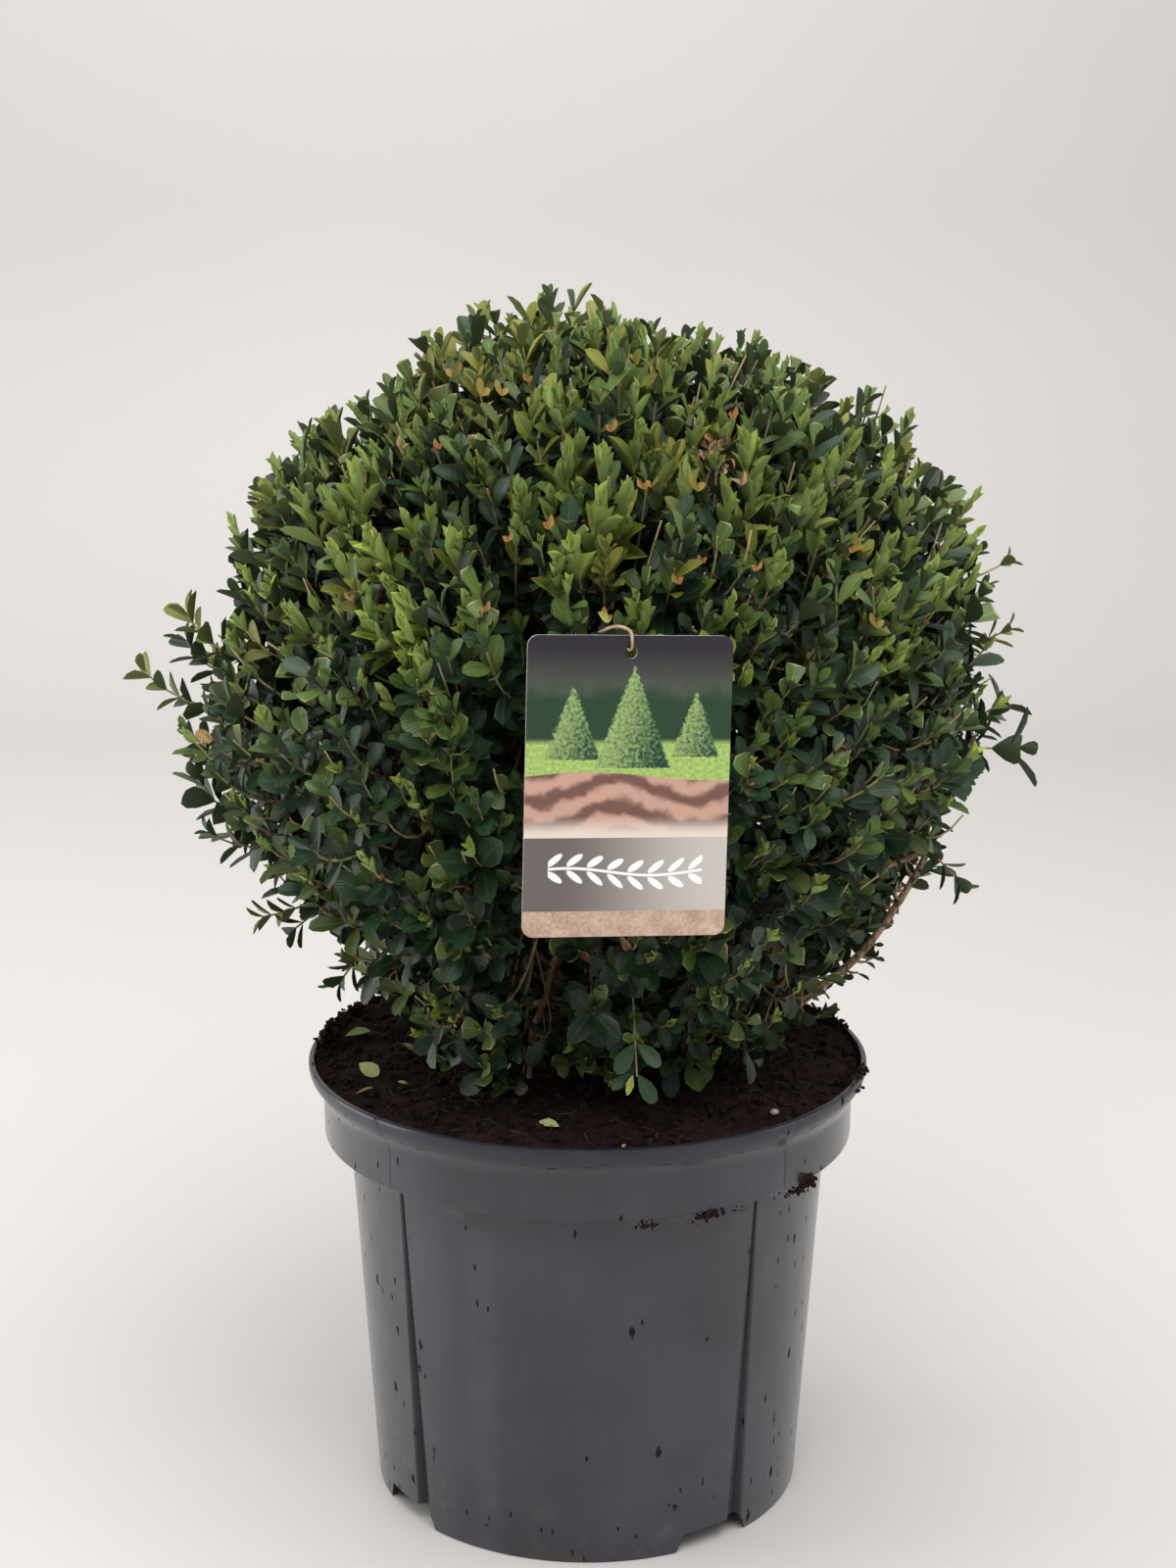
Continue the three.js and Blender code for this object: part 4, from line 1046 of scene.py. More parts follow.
# The outline of each leaf shape: its stations, its fold, its arch and how far along its tip is.
# A station is how far along it is, and its half widths on the left and on the right.
OUTLINES = {
    "broad": (
        ((0.15, 0.21, 0.20), (0.40, 0.44, 0.43), (0.69, 0.50, 0.50), (0.92, 0.30, 0.32)), 0.16, -0.10, 1.0,
    ),
    "narrow": (
        ((0.17, 0.18, 0.19), (0.43, 0.41, 0.42), (0.70, 0.50, 0.50), (0.92, 0.30, 0.28)), 0.22, -0.05, 1.0,
    ),
    "shaded": (((0.33, 0.39, 0.38), (0.77, 0.46, 0.47)), 0.16, -0.10, 1.0),
    "young": (((0.22, 0.29, 0.30), (0.50, 0.50, 0.49), (0.80, 0.34, 0.33)), 0.46, 0.09, 1.0),
    "clipped": (((0.24, 0.32, 0.31), (0.48, 0.48, 0.48), (0.62, 0.47, 0.50)), 0.2, -0.06, 0.67),
    "withered": (((0.24, 0.30, 0.28), (0.52, 0.44, 0.47), (0.82, 0.28, 0.32)), 0.75, -0.40, 1.0),
}
BLADE_THICKNESS = 0.016


def blade(name, stations, fold, arch, tip):
    """A leaf of unit length and width along +Y, face up, as a closed skin: 8 triangles a station."""
    def lift(along):
        return arch * along * along

    corners = [(0.0, 0.0, 0.0)]
    for along, left, right in stations:
        low = lift(along)
        corners.append((-left, along, low + fold * left))
        corners.append((right, along, low + fold * right))
        corners.append((0.0, along, low))
        corners.append((0.0, along, low - BLADE_THICKNESS))
    corners.append((0.0, tip, lift(tip)))
    last = len(corners) - 1
    upper, under = [], []
    for k in range(len(stations)):
        left, right, top, below = range(1 + 4 * k, 5 + 4 * k)
        if k == 0:
            upper += [(0, top, left), (0, right, top)]
            under += [(0, left, below), (0, below, right)]
        else:
            left0, right0, top0, below0 = left - 4, right - 4, top - 4, below - 4
            upper += [(left0, top0, top, left), (top0, right0, right, top)]
            under += [(left0, left, below, below0), (below0, below, right, right0)]
    upper += [(left, top, last), (top, right, last)]
    under += [(left, last, below), (below, last, right)]
    mesh = mesh_of(name, corners, upper + under)
    layer = mesh.uv_layers.new(name="UVMap")
    for polygon in mesh.polygons:
        shift = 0.0 if polygon.index < len(upper) else 2.0
        for loop in polygon.loop_indices:
            x, y, _ = corners[mesh.loops[loop].vertex_index]
            layer.data[loop].uv = (0.5 + x + shift, y)
    rims = {0, last} | {1 + 4 * k for k in range(len(stations))} | {2 + 4 * k for k in range(len(stations))}
    sharp = mesh.attributes.new("sharp_edge", "BOOLEAN", "EDGE")
    for edge in mesh.edges:
        sharp.data[edge.index].value = edge.vertices[0] in rims and edge.vertices[1] in rims
    return linked(name, mesh)


def leaf_shapes():
    """The few leaf outlines that every leaf is cut from."""
    return {kind: blade(f"shape_{kind}", *outline) for kind, outline in OUTLINES.items()}


# Finishes

def dimmed(colour, share):
    return tuple(part * share for part in colour)


def leaf_finish(name, deep, bright, under, gloss, rib=0.26, worn=None):
    """A leaf's skin: two greens blended by each leaf's tint, which on the plant also carries painted shade,
    a paler midrib and margin, and a dull underside.
    """
    f = Finish(name)
    tint = f.node("ShaderNodeAttribute", {"attribute_name": "tint"}, None, "Fac")
    u, v, _ = f.node("ShaderNodeUVMap", {"uv_map": "UVMap"}).parts()
    below = u > 1.4
    across = (u - below * 2.0 - 0.5).size()
    mottle = f.grain(170.0, 2.0)
    blend = (tint * 0.75 + mottle * 0.5 - 0.12).ramped(0.0, 1.0)
    colour = f.mix(blend, deep, bright)
    pale = tuple(min(1.0, 1.5 * c + 0.03) for c in bright)
    line = (1.0 - across.ramped(0.015, 0.06)) * (1.0 - v.ramped(0.75, 1.0)) * rib
    colour = f.mix(line, colour, pale)
    colour = f.mix(across.ramped(0.43, 0.5) * 0.22, colour, pale)
    colour = f.mix(below * 0.8, colour, under)
    if worn:
        colour = f.mix(v.ramped(0.60, 0.655), colour, worn)
    veins = (v * 62.0 - across * 46.0).sine() * 0.15
    height = mottle * 0.5 + veins - line
    roughness = mottle * 0.16 + (below * 0.25 + gloss)
    return f.close(colour, roughness, height, 0.0004, 0.4, **{"Specular IOR Level": 0.27})


def twig_finish(name, light, dark, roughness):
    f = Finish(name)
    fine = f.grain(420.0, 3.0)
    rings = f.grain(90.0, 2.0)
    colour = f.mix((fine * 0.6 + rings * 0.6).ramped(0.35, 0.85), dark, light)
    return f.close(colour, fine * 0.2 + roughness, fine, 0.0004, 0.5)


def bark_finish(light, dark, red):
    """Thin ridged bark, tan over dark, with a redder base."""
    f = Finish("bark")
    long_ways = f.stretched(f.place, (1.0, 1.0, 0.35))
    ridges = f.noise(long_ways, 520.0, 4.0, 0.6)
    patches = f.grain(70.0, 3.0)
    colour = f.mix(ridges.ramped(0.36, 0.62), dark, light)
    colour = f.mix(patches.ramped(0.5, 0.72) * 0.6, colour, red)
    spots = f.grain(1100.0, 1.0).ramped(0.62, 0.72)
    colour = f.mix(spots * 0.5, colour, (0.42, 0.36, 0.27))
    return f.close(colour, ridges * 0.2 + 0.68, ridges + patches * 0.4, 0.0012, 0.8)


def soil_finish(dark, warm):
    f = Finish("peat_soil")
    clods = f.grain(160.0, 5.0, 0.65)
    grains = f.grain(900.0, 3.0, 0.6)
    colour = f.mix(clods.ramped(0.35, 0.7), dark, warm)
    bits = f.grain(1500.0, 1.0).ramped(0.70, 0.74)
    colour = f.mix(bits * 0.35, colour, (0.11, 0.06, 0.04))
    return f.close(
        colour, grains * 0.12 + 0.86, clods * 1.4 + grains * 0.5, 0.002, 0.9, **{"Specular IOR Level": 0.12},
    )


def pot_finish(grey):
    """Moulded grey plastic: scuffed, smudged, with a painted highlight low on its front left and painted
    shade in its grooves, and speckled with soil, most of all at its flanks.
    """
    f = Finish("moulded_grey_plastic")
    x, y, z = f.place.parts()
    out = (x * x + y * y).root()
    turn = y.angle_over(x)
    streaked = f.stretched(f.place, (1.0, 1.0, 0.10))
    cloud = f.grain(14.0, 4.0, 0.55)
    scuffs = f.noise(streaked, 150.0, 3.0, 0.6)
    fine = f.grain(2400.0, 2.0)
    paler = tuple(c * 1.35 + 0.006 for c in grey)
    deeper = dimmed(grey, 0.62)
    colour = f.mix(cloud.ramped(0.3, 0.75), deeper, grey)
    colour = f.mix(scuffs.ramped(0.58, 0.76) * 0.12, colour, paler)
    blue = f.noise(f.stretched(f.place, (1.0, 1.0, 0.35)), 22.0, 3.0).ramped(0.52, 0.72)
    colour = f.mix(blue * 0.35, colour, (0.038, 0.046, 0.070))
    # Painted highlight: a soft pale vertical band low on the pot's front left.
    painted_highlight = turn.near(-2.02, 0.02, 0.11) * (z < 0.15) * cloud.ramped(0.35, 0.6)
    colour = f.mix(painted_highlight * 0.45, colour, paler)
    flank = (turn + 1.5708).size().ramped(0.66, 0.80)
    low = 1.0 - z.ramped(0.0, 0.05)
    under_band = z.near(0.160, 0.002, 0.012) * (z < 0.1635)
    film = f.grain(55.0, 5.0, 0.7).ramped(0.50, 0.72)
    dust = low * 0.30 + under_band * 0.5 + flank * 0.10 + 0.04
    colour = f.mix(film * dust, colour, (0.105, 0.088, 0.074))
    wall = z * ((BODY_TOP_RADIUS - FOOT_RADIUS) / BAND_BOTTOM) + FOOT_RADIUS
    groove = (wall - out).ramped(0.0004, 0.0012) * (z < 0.1605) * (out > 0.089)
    # Painted shade: the grooves are darkened nearly to black.
    colour = f.mix(groove * 0.55, colour, (0.012, 0.012, 0.016))
    seams = 0.0
    for middle in (-2.347, -0.794, 0.794, 2.347):
        seams = turn.near(middle, 0.0025, 0.0075) + seams
    seams = seams * (z > 0.1625) * (out > 0.114)
    colour = f.mix(seams * 0.7, colour, deeper)
    specks = 0.0
    for scale, squash, drops in ((100.0, 0.50, 0.45), (220.0, 0.35, 0.55), (60.0, 0.40, 0.05)):
        inputs = {"Vector": f.stretched(f.place, (1.0, 1.0, squash)), "Scale": scale}
        cells = f.node("ShaderNodeTexVoronoi", None, inputs)
        drawn, _, _ = f.node("ShaderNodeTexVoronoi", None, inputs, "Color").parts()
        ragged = cells + f.grain(700.0, 2.0) * 0.22
        where = (f.grain(9.0 + scale * 0.02, 1.0) > 0.54) * 0.25 + flank * 0.9 + low * 0.55 + 0.05
        spots = (1.0 - ragged.ramped(0.21, 0.27)) * ((drawn + where * drops) > 0.97)
        specks = spots.most(specks)
    flat = f.node("ShaderNodeCombineXYZ", None, {0: turn * 15.0, 1: z * 950.0, 2: 0.0})
    dashes = f.noise(flat, 1.0, 2.0).ramped(0.64, 0.68)
    rims = z.near(0.1880, 0.002, 0.004) + z.near(0.1630, 0.0006, 0.0016)
    specks = specks.most(dashes * rims * (out > 0.112) * 0.85)
    colour = f.mix(specks * 0.9, colour, (0.016, 0.009, 0.007))
    within = ((z - 0.1833) * 0.6 + 0.1148).least(0.1202)
    inside = (z > 0.1845) * (out < within)
    colour = f.mix(inside * 0.94, colour, (0.014, 0.0085, 0.007))
    roughness = cloud * 0.10 + specks * 0.4 + scuffs * 0.08 + inside * 0.3 + 0.45
    height = fine * 0.10 + scuffs * 0.05 + specks * 0.8
    lip = (out - 0.1185).ramped(0.0, 0.002) * (z > 0.186) * 0.40
    gloss = (1.0 - (specks + inside + groove * 0.5 + seams * 0.4 + lip).least(1.0)) * (cloud * 0.16 + 0.80)
    coat = {"Coat Weight": gloss, "Coat Roughness": 0.20, "Coat IOR": 1.55, "Specular IOR Level": 0.12}
    return f.close(colour, roughness, height, 0.0005, 0.35, **coat)


def tag_finish(width, height):
    """A printed card: three cone shrubs, a meadow, bare earth, a grey band with a sprig, and wood."""
    f = Finish("printed_card")
    u, v, _ = f.node("ShaderNodeUVMap", {"uv_map": "UVMap"}).parts()
    x = u * (width * 1000)
    y = v * (height * 1000)
    flat = f.node("ShaderNodeCombineXYZ", None, {0: x, 1: y, 2: 0.0})
    fine = f.noise(flat, 0.75, 4.0, 0.7)
    coarse = f.noise(flat, 0.12, 3.0)
    sky = f.mix(y.ramped(84.0, 108.0), (0.085, 0.095, 0.070), (0.022, 0.017, 0.026))
    hedge = ((y - 83.0) - coarse * 14.0).ramped(-4.0, 4.0)
    colour = f.mix(1.0 - hedge, sky, (0.016, 0.050, 0.022))
    meadow = f.mix(fine.ramped(0.3, 0.7), (0.22, 0.38, 0.07), (0.48, 0.62, 0.20))
    colour = f.mix(1.0 - y.ramped(70.0, 73.0), colour, meadow)
    cones = ((17.0, 65.0, 27.0, 10.5), (39.0, 62.0, 37.0, 14.0), (62.0, 66.0, 24.0, 9.0))
    for middle, foot, tall, wide in cones:
        up = (y - foot) / tall
        span = (1.0 - up).most(0.0) * wide
        edge = span - (x - middle).size() + (fine - 0.5) * 5.0
        shape = edge.ramped(-0.3, 0.6) * (up > 0.0) * (up < 1.0)
        lit = (fine * 1.5 - (x - middle) * 0.02 + up * 0.2).ramped(0.50, 1.15)
        shrub = f.mix(lit, (0.008, 0.045, 0.028), (0.32, 0.46, 0.16))
        colour = f.mix(shape, colour, shrub)
    furrow = (y * 0.62 + (x * 0.11 + 1.0).sine() * 2.6 + coarse * 5.0).sine()
    earth = f.mix(furrow.ramped(-0.9, 0.9), (0.17, 0.080, 0.062), (0.56, 0.33, 0.26))
    earth = f.mix(fine.ramped(0.55, 0.8) * 0.35, earth, (0.66, 0.44, 0.37))
    earth = f.mix(1.0 - y.ramped(37.0, 45.0), earth, (0.76, 0.65, 0.57))
    colour = f.mix(y < (x * 0.07).sine() * 1.5 + 59.0, colour, earth)
    bare = f.mix(u.ramped(0.15, 1.0), (0.14, 0.12, 0.11), (0.56, 0.51, 0.48))
    middle = 24.0 + (x * 0.10).sine() * 1.4
    stem = y.near(middle, 0.35, 0.65)
    step = x / 7.5
    along = (step - step.whole() - 0.5) * 7.5
    for side in (-1.0, 1.0):
        rise = (y - middle) * side - 3.1
        long_way = (along * 0.80 + rise * 0.60) / 3.6
        cross_way = (rise * 0.80 - along * 0.60) / 1.25
        stem = stem.most(1.0 - (long_way * long_way + cross_way * cross_way).ramped(0.8, 1.15))
    bare = f.mix(stem * (x > 9.0) * (x < 66.0), bare, (0.90, 0.89, 0.87))
    colour = f.mix(y < 36.5, colour, bare)
    wood = f.mix((fine * 0.6 + coarse * 0.5).ramped(0.35, 0.75), (0.36, 0.22, 0.165), (0.66, 0.47, 0.38))
    colour = f.mix(y < 9.5, colour, wood)
    sheen = f.grain(30.0, 2.0)
    return f.close(colour, sheen * 0.10 + 0.22)


def plain_card_finish():
    """The card's white edge and back."""
    f = Finish("white_card")
    soft = f.grain(60.0, 3.0)
    colour = f.mix(soft, (0.62, 0.61, 0.58), (0.72, 0.71, 0.69))
    return f.close(colour, soft * 0.1 + 0.3, soft, 0.0002, 0.1)


def stage_finish(name, colour):
    f = Finish(name)
    soft = f.grain(2.0, 2.0)
    return f.close(f.mix(soft, dimmed(colour, 0.96), colour), 0.55)


# Mesh building

def polar(radius, angle):
    """Across and along, for a distance and an angle."""
    return radius * math.cos(angle), radius * math.sin(angle)


def ring_quads(near, far, sides):
    """The faces between two rings of corners, each given by its first corner."""
    steps = [(j, (j + 1) % sides) for j in range(sides)]
    return [(near + j, near + follow, far + follow, far + j) for j, follow in steps]


def tube(route, radii, sides, bumps, random, flare=0.0):
    """A closed limb along a route, with ridges, swollen nodes and an optional flare at its foot."""
    count = len(route)
    headings = unit(np.gradient(route, axis=0))
    side = unit(np.cross(headings[0], [0.3, 0.9, 0.2]))
    corners = []
    phases = random.uniform(0, 2 * math.pi, 4)
    along = distances(route)
    for i in range(count):
        side = unit(side - headings[i] * float(side @ headings[i]))
        other = np.cross(headings[i], side)
        share = i / (count - 1)
        radius = radii[0] + (radii[1] - radii[0]) * share
        radius += flare * math.exp(-along[i] / 0.004)
        knot = 0.10 * max(0.0, math.sin(along[i] / 0.0042 + phases[3])) ** 8
        for j in range(sides):
            angle = j * 2 * math.pi / sides
            ridge = math.sin(3 * angle + phases[0] + 40 * along[i])
            ridge += 0.7 * math.sin(7 * angle + phases[1] - 65 * along[i])
            ridge += 0.8 * math.sin(2 * angle + phases[2] + 220 * along[i])
            ridge += random.normal(0, 0.5)
            reach = radius * (1 + bumps * ridge * 0.4 + knot)
            corners.append(route[i] + side * reach * math.cos(angle) + other * reach * math.sin(angle))
    faces = []
    for i in range(count - 1):
        faces += ring_quads(i * sides, (i + 1) * sides, sides)
    corners += [route[0], route[-1]]
    foot, tip = len(corners) - 2, len(corners) - 1
    for j in range(sides):
        follow = (j + 1) % sides
        faces.append((foot, follow, j))
        faces.append((tip, (count - 1) * sides + j, (count - 1) * sides + follow))
    return corners, faces


def filleted(profile, radii, steps=5):
    """A profile whose corners are rounded by the given radii."""
    points = []
    for i, ((r, z), radius) in enumerate(zip(profile, radii)):
        if radius <= 0 or i in (0, len(profile) - 1):
            points.append((r, z))
            continue
        corner = np.array([r, z])
        before = np.array(profile[i - 1]) - corner
        after = np.array(profile[i + 1]) - corner
        first = corner + before / np.linalg.norm(before) * radius
        second = corner + after / np.linalg.norm(after) * radius
        points += [tuple(point) for point in bezier(first, corner, second, steps)]
    return points


def wall_radius(z):
    return FOOT_RADIUS + (BODY_TOP_RADIUS - FOOT_RADIUS) * z / BAND_BOTTOM


def limb(name, route, radii, sides, bumps, random, material, flare=0.0):
    corners, faces = tube(route, radii, sides, bumps, random, flare)
    return linked(name, mesh_of(name, corners, faces, material))


def twigs_along(name, lines, sides, material):
    """Thin twigs along lines, each a path and the thickness at its points, as one piece."""
    points, girths, edges = [], [], []
    for path, thickness in lines:
        first = len(points)
        edges += [(k, k + 1) for k in range(first, first + len(path) - 1)]
        points += list(path)
        girths += list(thickness)
    source = point_object(f"{name}_lines", points, {}, {POINT_NUMBER: girths}, edges)
    return grown(name, source, twig_tree(), {"Sides": sides, "Thickness": 1.0, "Finish": material})


def crumb(name, random):
    """One small lump of peat, of twenty faces."""
    sheet = bmesh.new()
    bmesh.ops.create_icosphere(sheet, subdivisions=1, radius=0.5)
    for corner in sheet.verts:
        corner.co *= random.uniform(0.7, 1.25)
        corner.co.z *= 0.8
    return linked(name, mesh_from(sheet, name))


# Settings

def colour_of(name, description, default):
    return bpy.props.FloatVectorProperty(
        name=name, description=description, subtype="COLOR", size=3, default=default,
    )


def length_of(name, description, default):
    return bpy.props.FloatProperty(name=name, description=description, unit="LENGTH", default=default)


def count_of(name, description, default, least):
    return bpy.props.IntProperty(name=name, description=description, default=default, min=least)


class PotSettings(bpy.types.PropertyGroup):
    colour: colour_of("Plastic", "Colour of the pot", (0.034, 0.037, 0.050))
    flute_depth: length_of("Groove depth", "Depth of the grooves at the foot", 0.0032)
    steps: count_of("Columns", "Columns of the wall between two grooves", 44, 12)


class SoilSettings(bpy.types.PropertyGroup):
    dark: colour_of("Dark peat", "Colour of the wet peat", (0.0135, 0.0078, 0.0072))
    warm: colour_of("Warm peat", "Colour of the drier peat", (0.035, 0.0170, 0.0145))
    crumbs: count_of("Crumbs", "Loose crumbs on the surface", 3200, 0)
    crumb_size: length_of("Crumb size", "Usual width of a crumb", 0.0022)


class LimbSettings(bpy.types.PropertyGroup):
    light: colour_of("Light bark", "Colour of the ridges", (0.48, 0.325, 0.215))
    dark: colour_of("Dark bark", "Colour of the furrows", (0.135, 0.080, 0.052))
    red: colour_of("Red bark", "Colour of the redder patches", (0.42, 0.205, 0.135))
    relief: bpy.props.FloatProperty(
        name="Relief", description="Depth of the bark's ridges, as a share of the radius",
        default=0.11, min=0.0,
    )


class FoliageSettings(bpy.types.PropertyGroup):
    seed: count_of("Seed", "Seed of the growth", 11, 0)
    arm_count: count_of("Arms", "Arms that carry the shoots", 330, 20)
    shoot_count: count_of("Shoots", "Leafy shoots", 1950, 50)
    leafy_length: length_of("Leafy length", "Length of a shoot that bears leaves", 0.040)
    dark: colour_of("Old leaves", "Colour of the old leaves", (0.034, 0.075, 0.034))
    green: colour_of("Grown leaves", "Colour of grown leaves", (0.115, 0.180, 0.043))
    olive: colour_of("Upper leaves", "Colour of the upper leaves", (0.240, 0.245, 0.042))
    fresh: colour_of("New leaves", "Colour of the new leaves", (0.50, 0.58, 0.12))


class TagSettings(bpy.types.PropertyGroup):
    width: length_of("Width", "Width of the card", 0.075)
    height: length_of("Height", "Height of the card", 0.110)
    thickness: length_of("Thickness", "Thickness of the card", 0.0009)
    corner: length_of("Corner", "Radius of its corners", 0.004)


class StageSettings(bpy.types.PropertyGroup):
    floor: colour_of("Floor", "Colour of the floor", (0.605, 0.585, 0.568))
    daylight: bpy.props.FloatProperty(
        name="Daylight", description="Strength of the room's light", default=0.50,
    )
    lamp: bpy.props.FloatProperty(
        name="Lamp", description="Power of the overhead panel", default=32.0, unit="POWER",
    )


# Operators

class BOXBALL_OT_stage(bpy.types.Operator):
    """Adds the pale floor and wall, the soft lights and the camera"""

    bl_idname = "boxball.add_stage"
    bl_label = "Stage"

    def execute(self, context):
        settings = context.scene.boxball_stage
        profile = [(-3.0, 0.0), (BEND_START, 0.0)]
        for k in range(1, 13):
            angle = k / 12 * math.pi / 2
            profile.append((
                BEND_START + BEND_RADIUS * math.sin(angle), BEND_RADIUS - BEND_RADIUS * math.cos(angle),
            ))
        profile.append((BEND_START + BEND_RADIUS, 3.2))
        corners = [(x, y, z) for y, z in profile for x in (-3.5, 3.5)]
        faces = [(2 * i, 2 * i + 1, 2 * i + 3, 2 * i + 2) for i in range(len(profile) - 1)]
        material = stage_finish("pale_stage", settings.floor)
        linked("pale_sweep", mesh_of("pale_sweep", corners, faces, material))
        world = bpy.data.worlds.new("Soft daylight")
        world.use_nodes = True
        background = world.node_tree.nodes["Background"]
        background.inputs["Color"].default_value = (0.94, 0.97, 1.0, 1.0)
        background.inputs["Strength"].default_value = settings.daylight
        context.scene.world = world
        for panel in PANELS:
            self.panel_light(settings.lamp, *panel)
        lens = bpy.data.cameras.new("photo_camera")
        lens.sensor_width = 36.0
        lens.lens = CAMERA_LENS
        lens.clip_start = 0.02
        camera = bpy.data.objects.new("photo_camera", lens)
        camera.location = CAMERA_PLACE
        camera.rotation_euler = (math.radians(90 - CAMERA_DOWN), CAMERA_LEAN, 0.0)
        context.scene.collection.objects.link(camera)
        context.scene.camera = camera
        context.scene.view_settings.view_transform = "Standard"
        context.scene.view_settings.look = "None"
        return {"FINISHED"}

    def panel_light(self, power, name, place, aim, size, share, colour):
        lamp = bpy.data.lights.new(name, "AREA")
        lamp.size = size
        lamp.energy = power * share
        lamp.color = colour
        holder = bpy.data.objects.new(name, lamp)
        holder.location = place
        holder.rotation_euler = (Vector(aim) - Vector(place)).to_track_quat("-Z", "Y").to_euler()
        bpy.context.scene.collection.objects.link(holder)


class BOXBALL_OT_pot(bpy.types.Operator):
    """Adds the grey pot, with its grooves, foot gaps and drain holes"""

    bl_idname = "boxball.add_pot"
    bl_label = "Pot"

    def execute(self, context):
        settings = context.scene.boxball_pot
        step = POT_HEIGHT - LIP_HEIGHT
        lip_inside = LIP_RADIUS - LIP_WALL
        band_inside = BAND_RADIUS - WALL
        rows = [(wall_radius(z), z) for z in np.linspace(0.012, BAND_BOTTOM - 0.004, 9)]
        profile = [
            (0.0, FLOOR_LIFT),
            (FOOT_RADIUS - WALL, FLOOR_LIFT),
            (FOOT_RADIUS - WALL, 0.0),
            (FOOT_RADIUS, 0.0),
            *rows,
            (BODY_TOP_RADIUS, BAND_BOTTOM),
            (BAND_RADIUS, BAND_BOTTOM + 0.0012),
            (BAND_RADIUS + 0.0002, step - 0.0052),
            (LIP_RADIUS, step + 0.0034),
            (LIP_RADIUS, POT_HEIGHT),
            (lip_inside, POT_HEIGHT),
            (lip_inside, step + LIP_WALL),
            (band_inside, step),
            (band_inside, BAND_BOTTOM + WALL + 0.002),
            (wall_radius(BAND_BOTTOM) - WALL, BAND_BOTTOM),
            (wall_radius(FLOOR_LIFT + WALL) - WALL, FLOOR_LIFT + WALL),
            (0.0, FLOOR_LIFT + WALL),
        ]
        rounding = [0, 0.001, 0.0004, 0.0009] + [0] * len(rows)
        rounding += [0.0012, 0.0009, 0.0036, 0.0024, 0.0014, 0.0006, 0.0006, 0.001, 0.001, 0.001, 0.001, 0]
        outline = filleted(profile, rounding)
        piece = linked("nursery_pot", self.turned_wall(outline, settings))
        cutter = linked("pot_cuts", self.cuts())
        boolean = piece.modifiers.new("cuts", "BOOLEAN")
        boolean.operation = "DIFFERENCE"
        boolean.solver = "EXACT"
        boolean.object = cutter
        mesh = baked(piece)
        bpy.data.objects.remove(cutter)
        if len(mesh.polygons) < LEAST_POT_FACES:
            raise RuntimeError("the pot's cuts failed")
        finished(mesh, pot_finish(tuple(settings.colour)))
        mesh.set_sharp_from_angle(angle=math.radians(26))
        settle(linked("grey_nursery_pot", mesh), "pot", "pot")
        return {"FINISHED"}

    def turned_wall(self, outline, settings):
        """The wall as a closed skin, whose columns follow the grooves down the pot."""
        columns = []
        for k in range(FLUTE_COUNT):
            turn = math.radians(FLUTE_TURN + 90 * k)
            columns += [(turn, side, deep) for side, deep in ((-1, 0), (-0.52, 1), (0.52, 1), (1, 0))]
            for j in range(settings.steps + 1):
                turned = turn + math.radians(FLUTE_MARGIN + (90 - 2 * FLUTE_MARGIN) * j / settings.steps)
                columns.append((turned, 0, 0))
        corners, rings = [], []
        for radius, z in outline:
            if radius == 0.0:
                rings.append([len(corners)] * len(columns))
                corners.append((0, 0, z))
                continue
            below = max(0.0, min(1.0, 1 - z / BAND_BOTTOM))
            half = FLUTE_TOP_HALF_WIDTH + (FLUTE_FOOT_HALF_WIDTH - FLUTE_TOP_HALF_WIDTH) * below
            depth = FLUTE_TOP_DEPTH + (settings.flute_depth - FLUTE_TOP_DEPTH) * below
            grooved = z < BAND_BOTTOM - 0.0005 and radius > 0.09
            rings.append(range(len(corners), len(corners) + len(columns)))
            for turn, side, deep in columns:
                reach = radius - (depth if deep and grooved else 0.0)
                corners.append((*polar(reach, turn + side * half / radius), z))
        faces = []
        for near, far in zip(rings, rings[1:]):
            for j in range(len(columns)):
                follow = (j + 1) % len(columns)
                loop = (near[j], near[follow], far[follow], far[j])
                faces.append(tuple(dict.fromkeys(loop)))
        return mesh_of("nursery_pot", corners, faces)

    def cuts(self):
        """The four foot gaps and the six drain holes, as one cutter."""
        sheet = bmesh.new()
        outline = [(-0.019, -0.001), (0.019, -0.001), (0.015, 0.0085), (-0.015, 0.0085)]
        for k in range(FLUTE_COUNT):
            turn = math.radians(FLUTE_TURN - NOTCH_BEFORE + 90 * k)
            x, y = math.cos(turn), math.sin(turn)
            ends = [
                [sheet.verts.new((out * x - across * y, out * y + across * x, z)) for across, z in outline]
                for out in (0.066, 0.106)
            ]
            sheet.faces.new(ends[0])
            sheet.faces.new(ends[1][::-1])
            for j in range(4):
                follow = (j + 1) % 4
                sheet.faces.new((ends[0][follow], ends[0][j], ends[1][j], ends[1][follow]))
        for k in range(DRAIN_COUNT):
            angle = k * math.pi / (DRAIN_COUNT / 2)
            place = Matrix.Translation((*polar(DRAIN_RING, angle), FLOOR_LIFT + WALL / 2))
            bmesh.ops.create_cone(
                sheet, cap_ends=True, segments=24, radius1=DRAIN_RADIUS, radius2=DRAIN_RADIUS,
                depth=3 * WALL, matrix=place,
            )
        bmesh.ops.recalc_face_normals(sheet, faces=sheet.faces)
        return mesh_from(sheet, "pot_cuts")


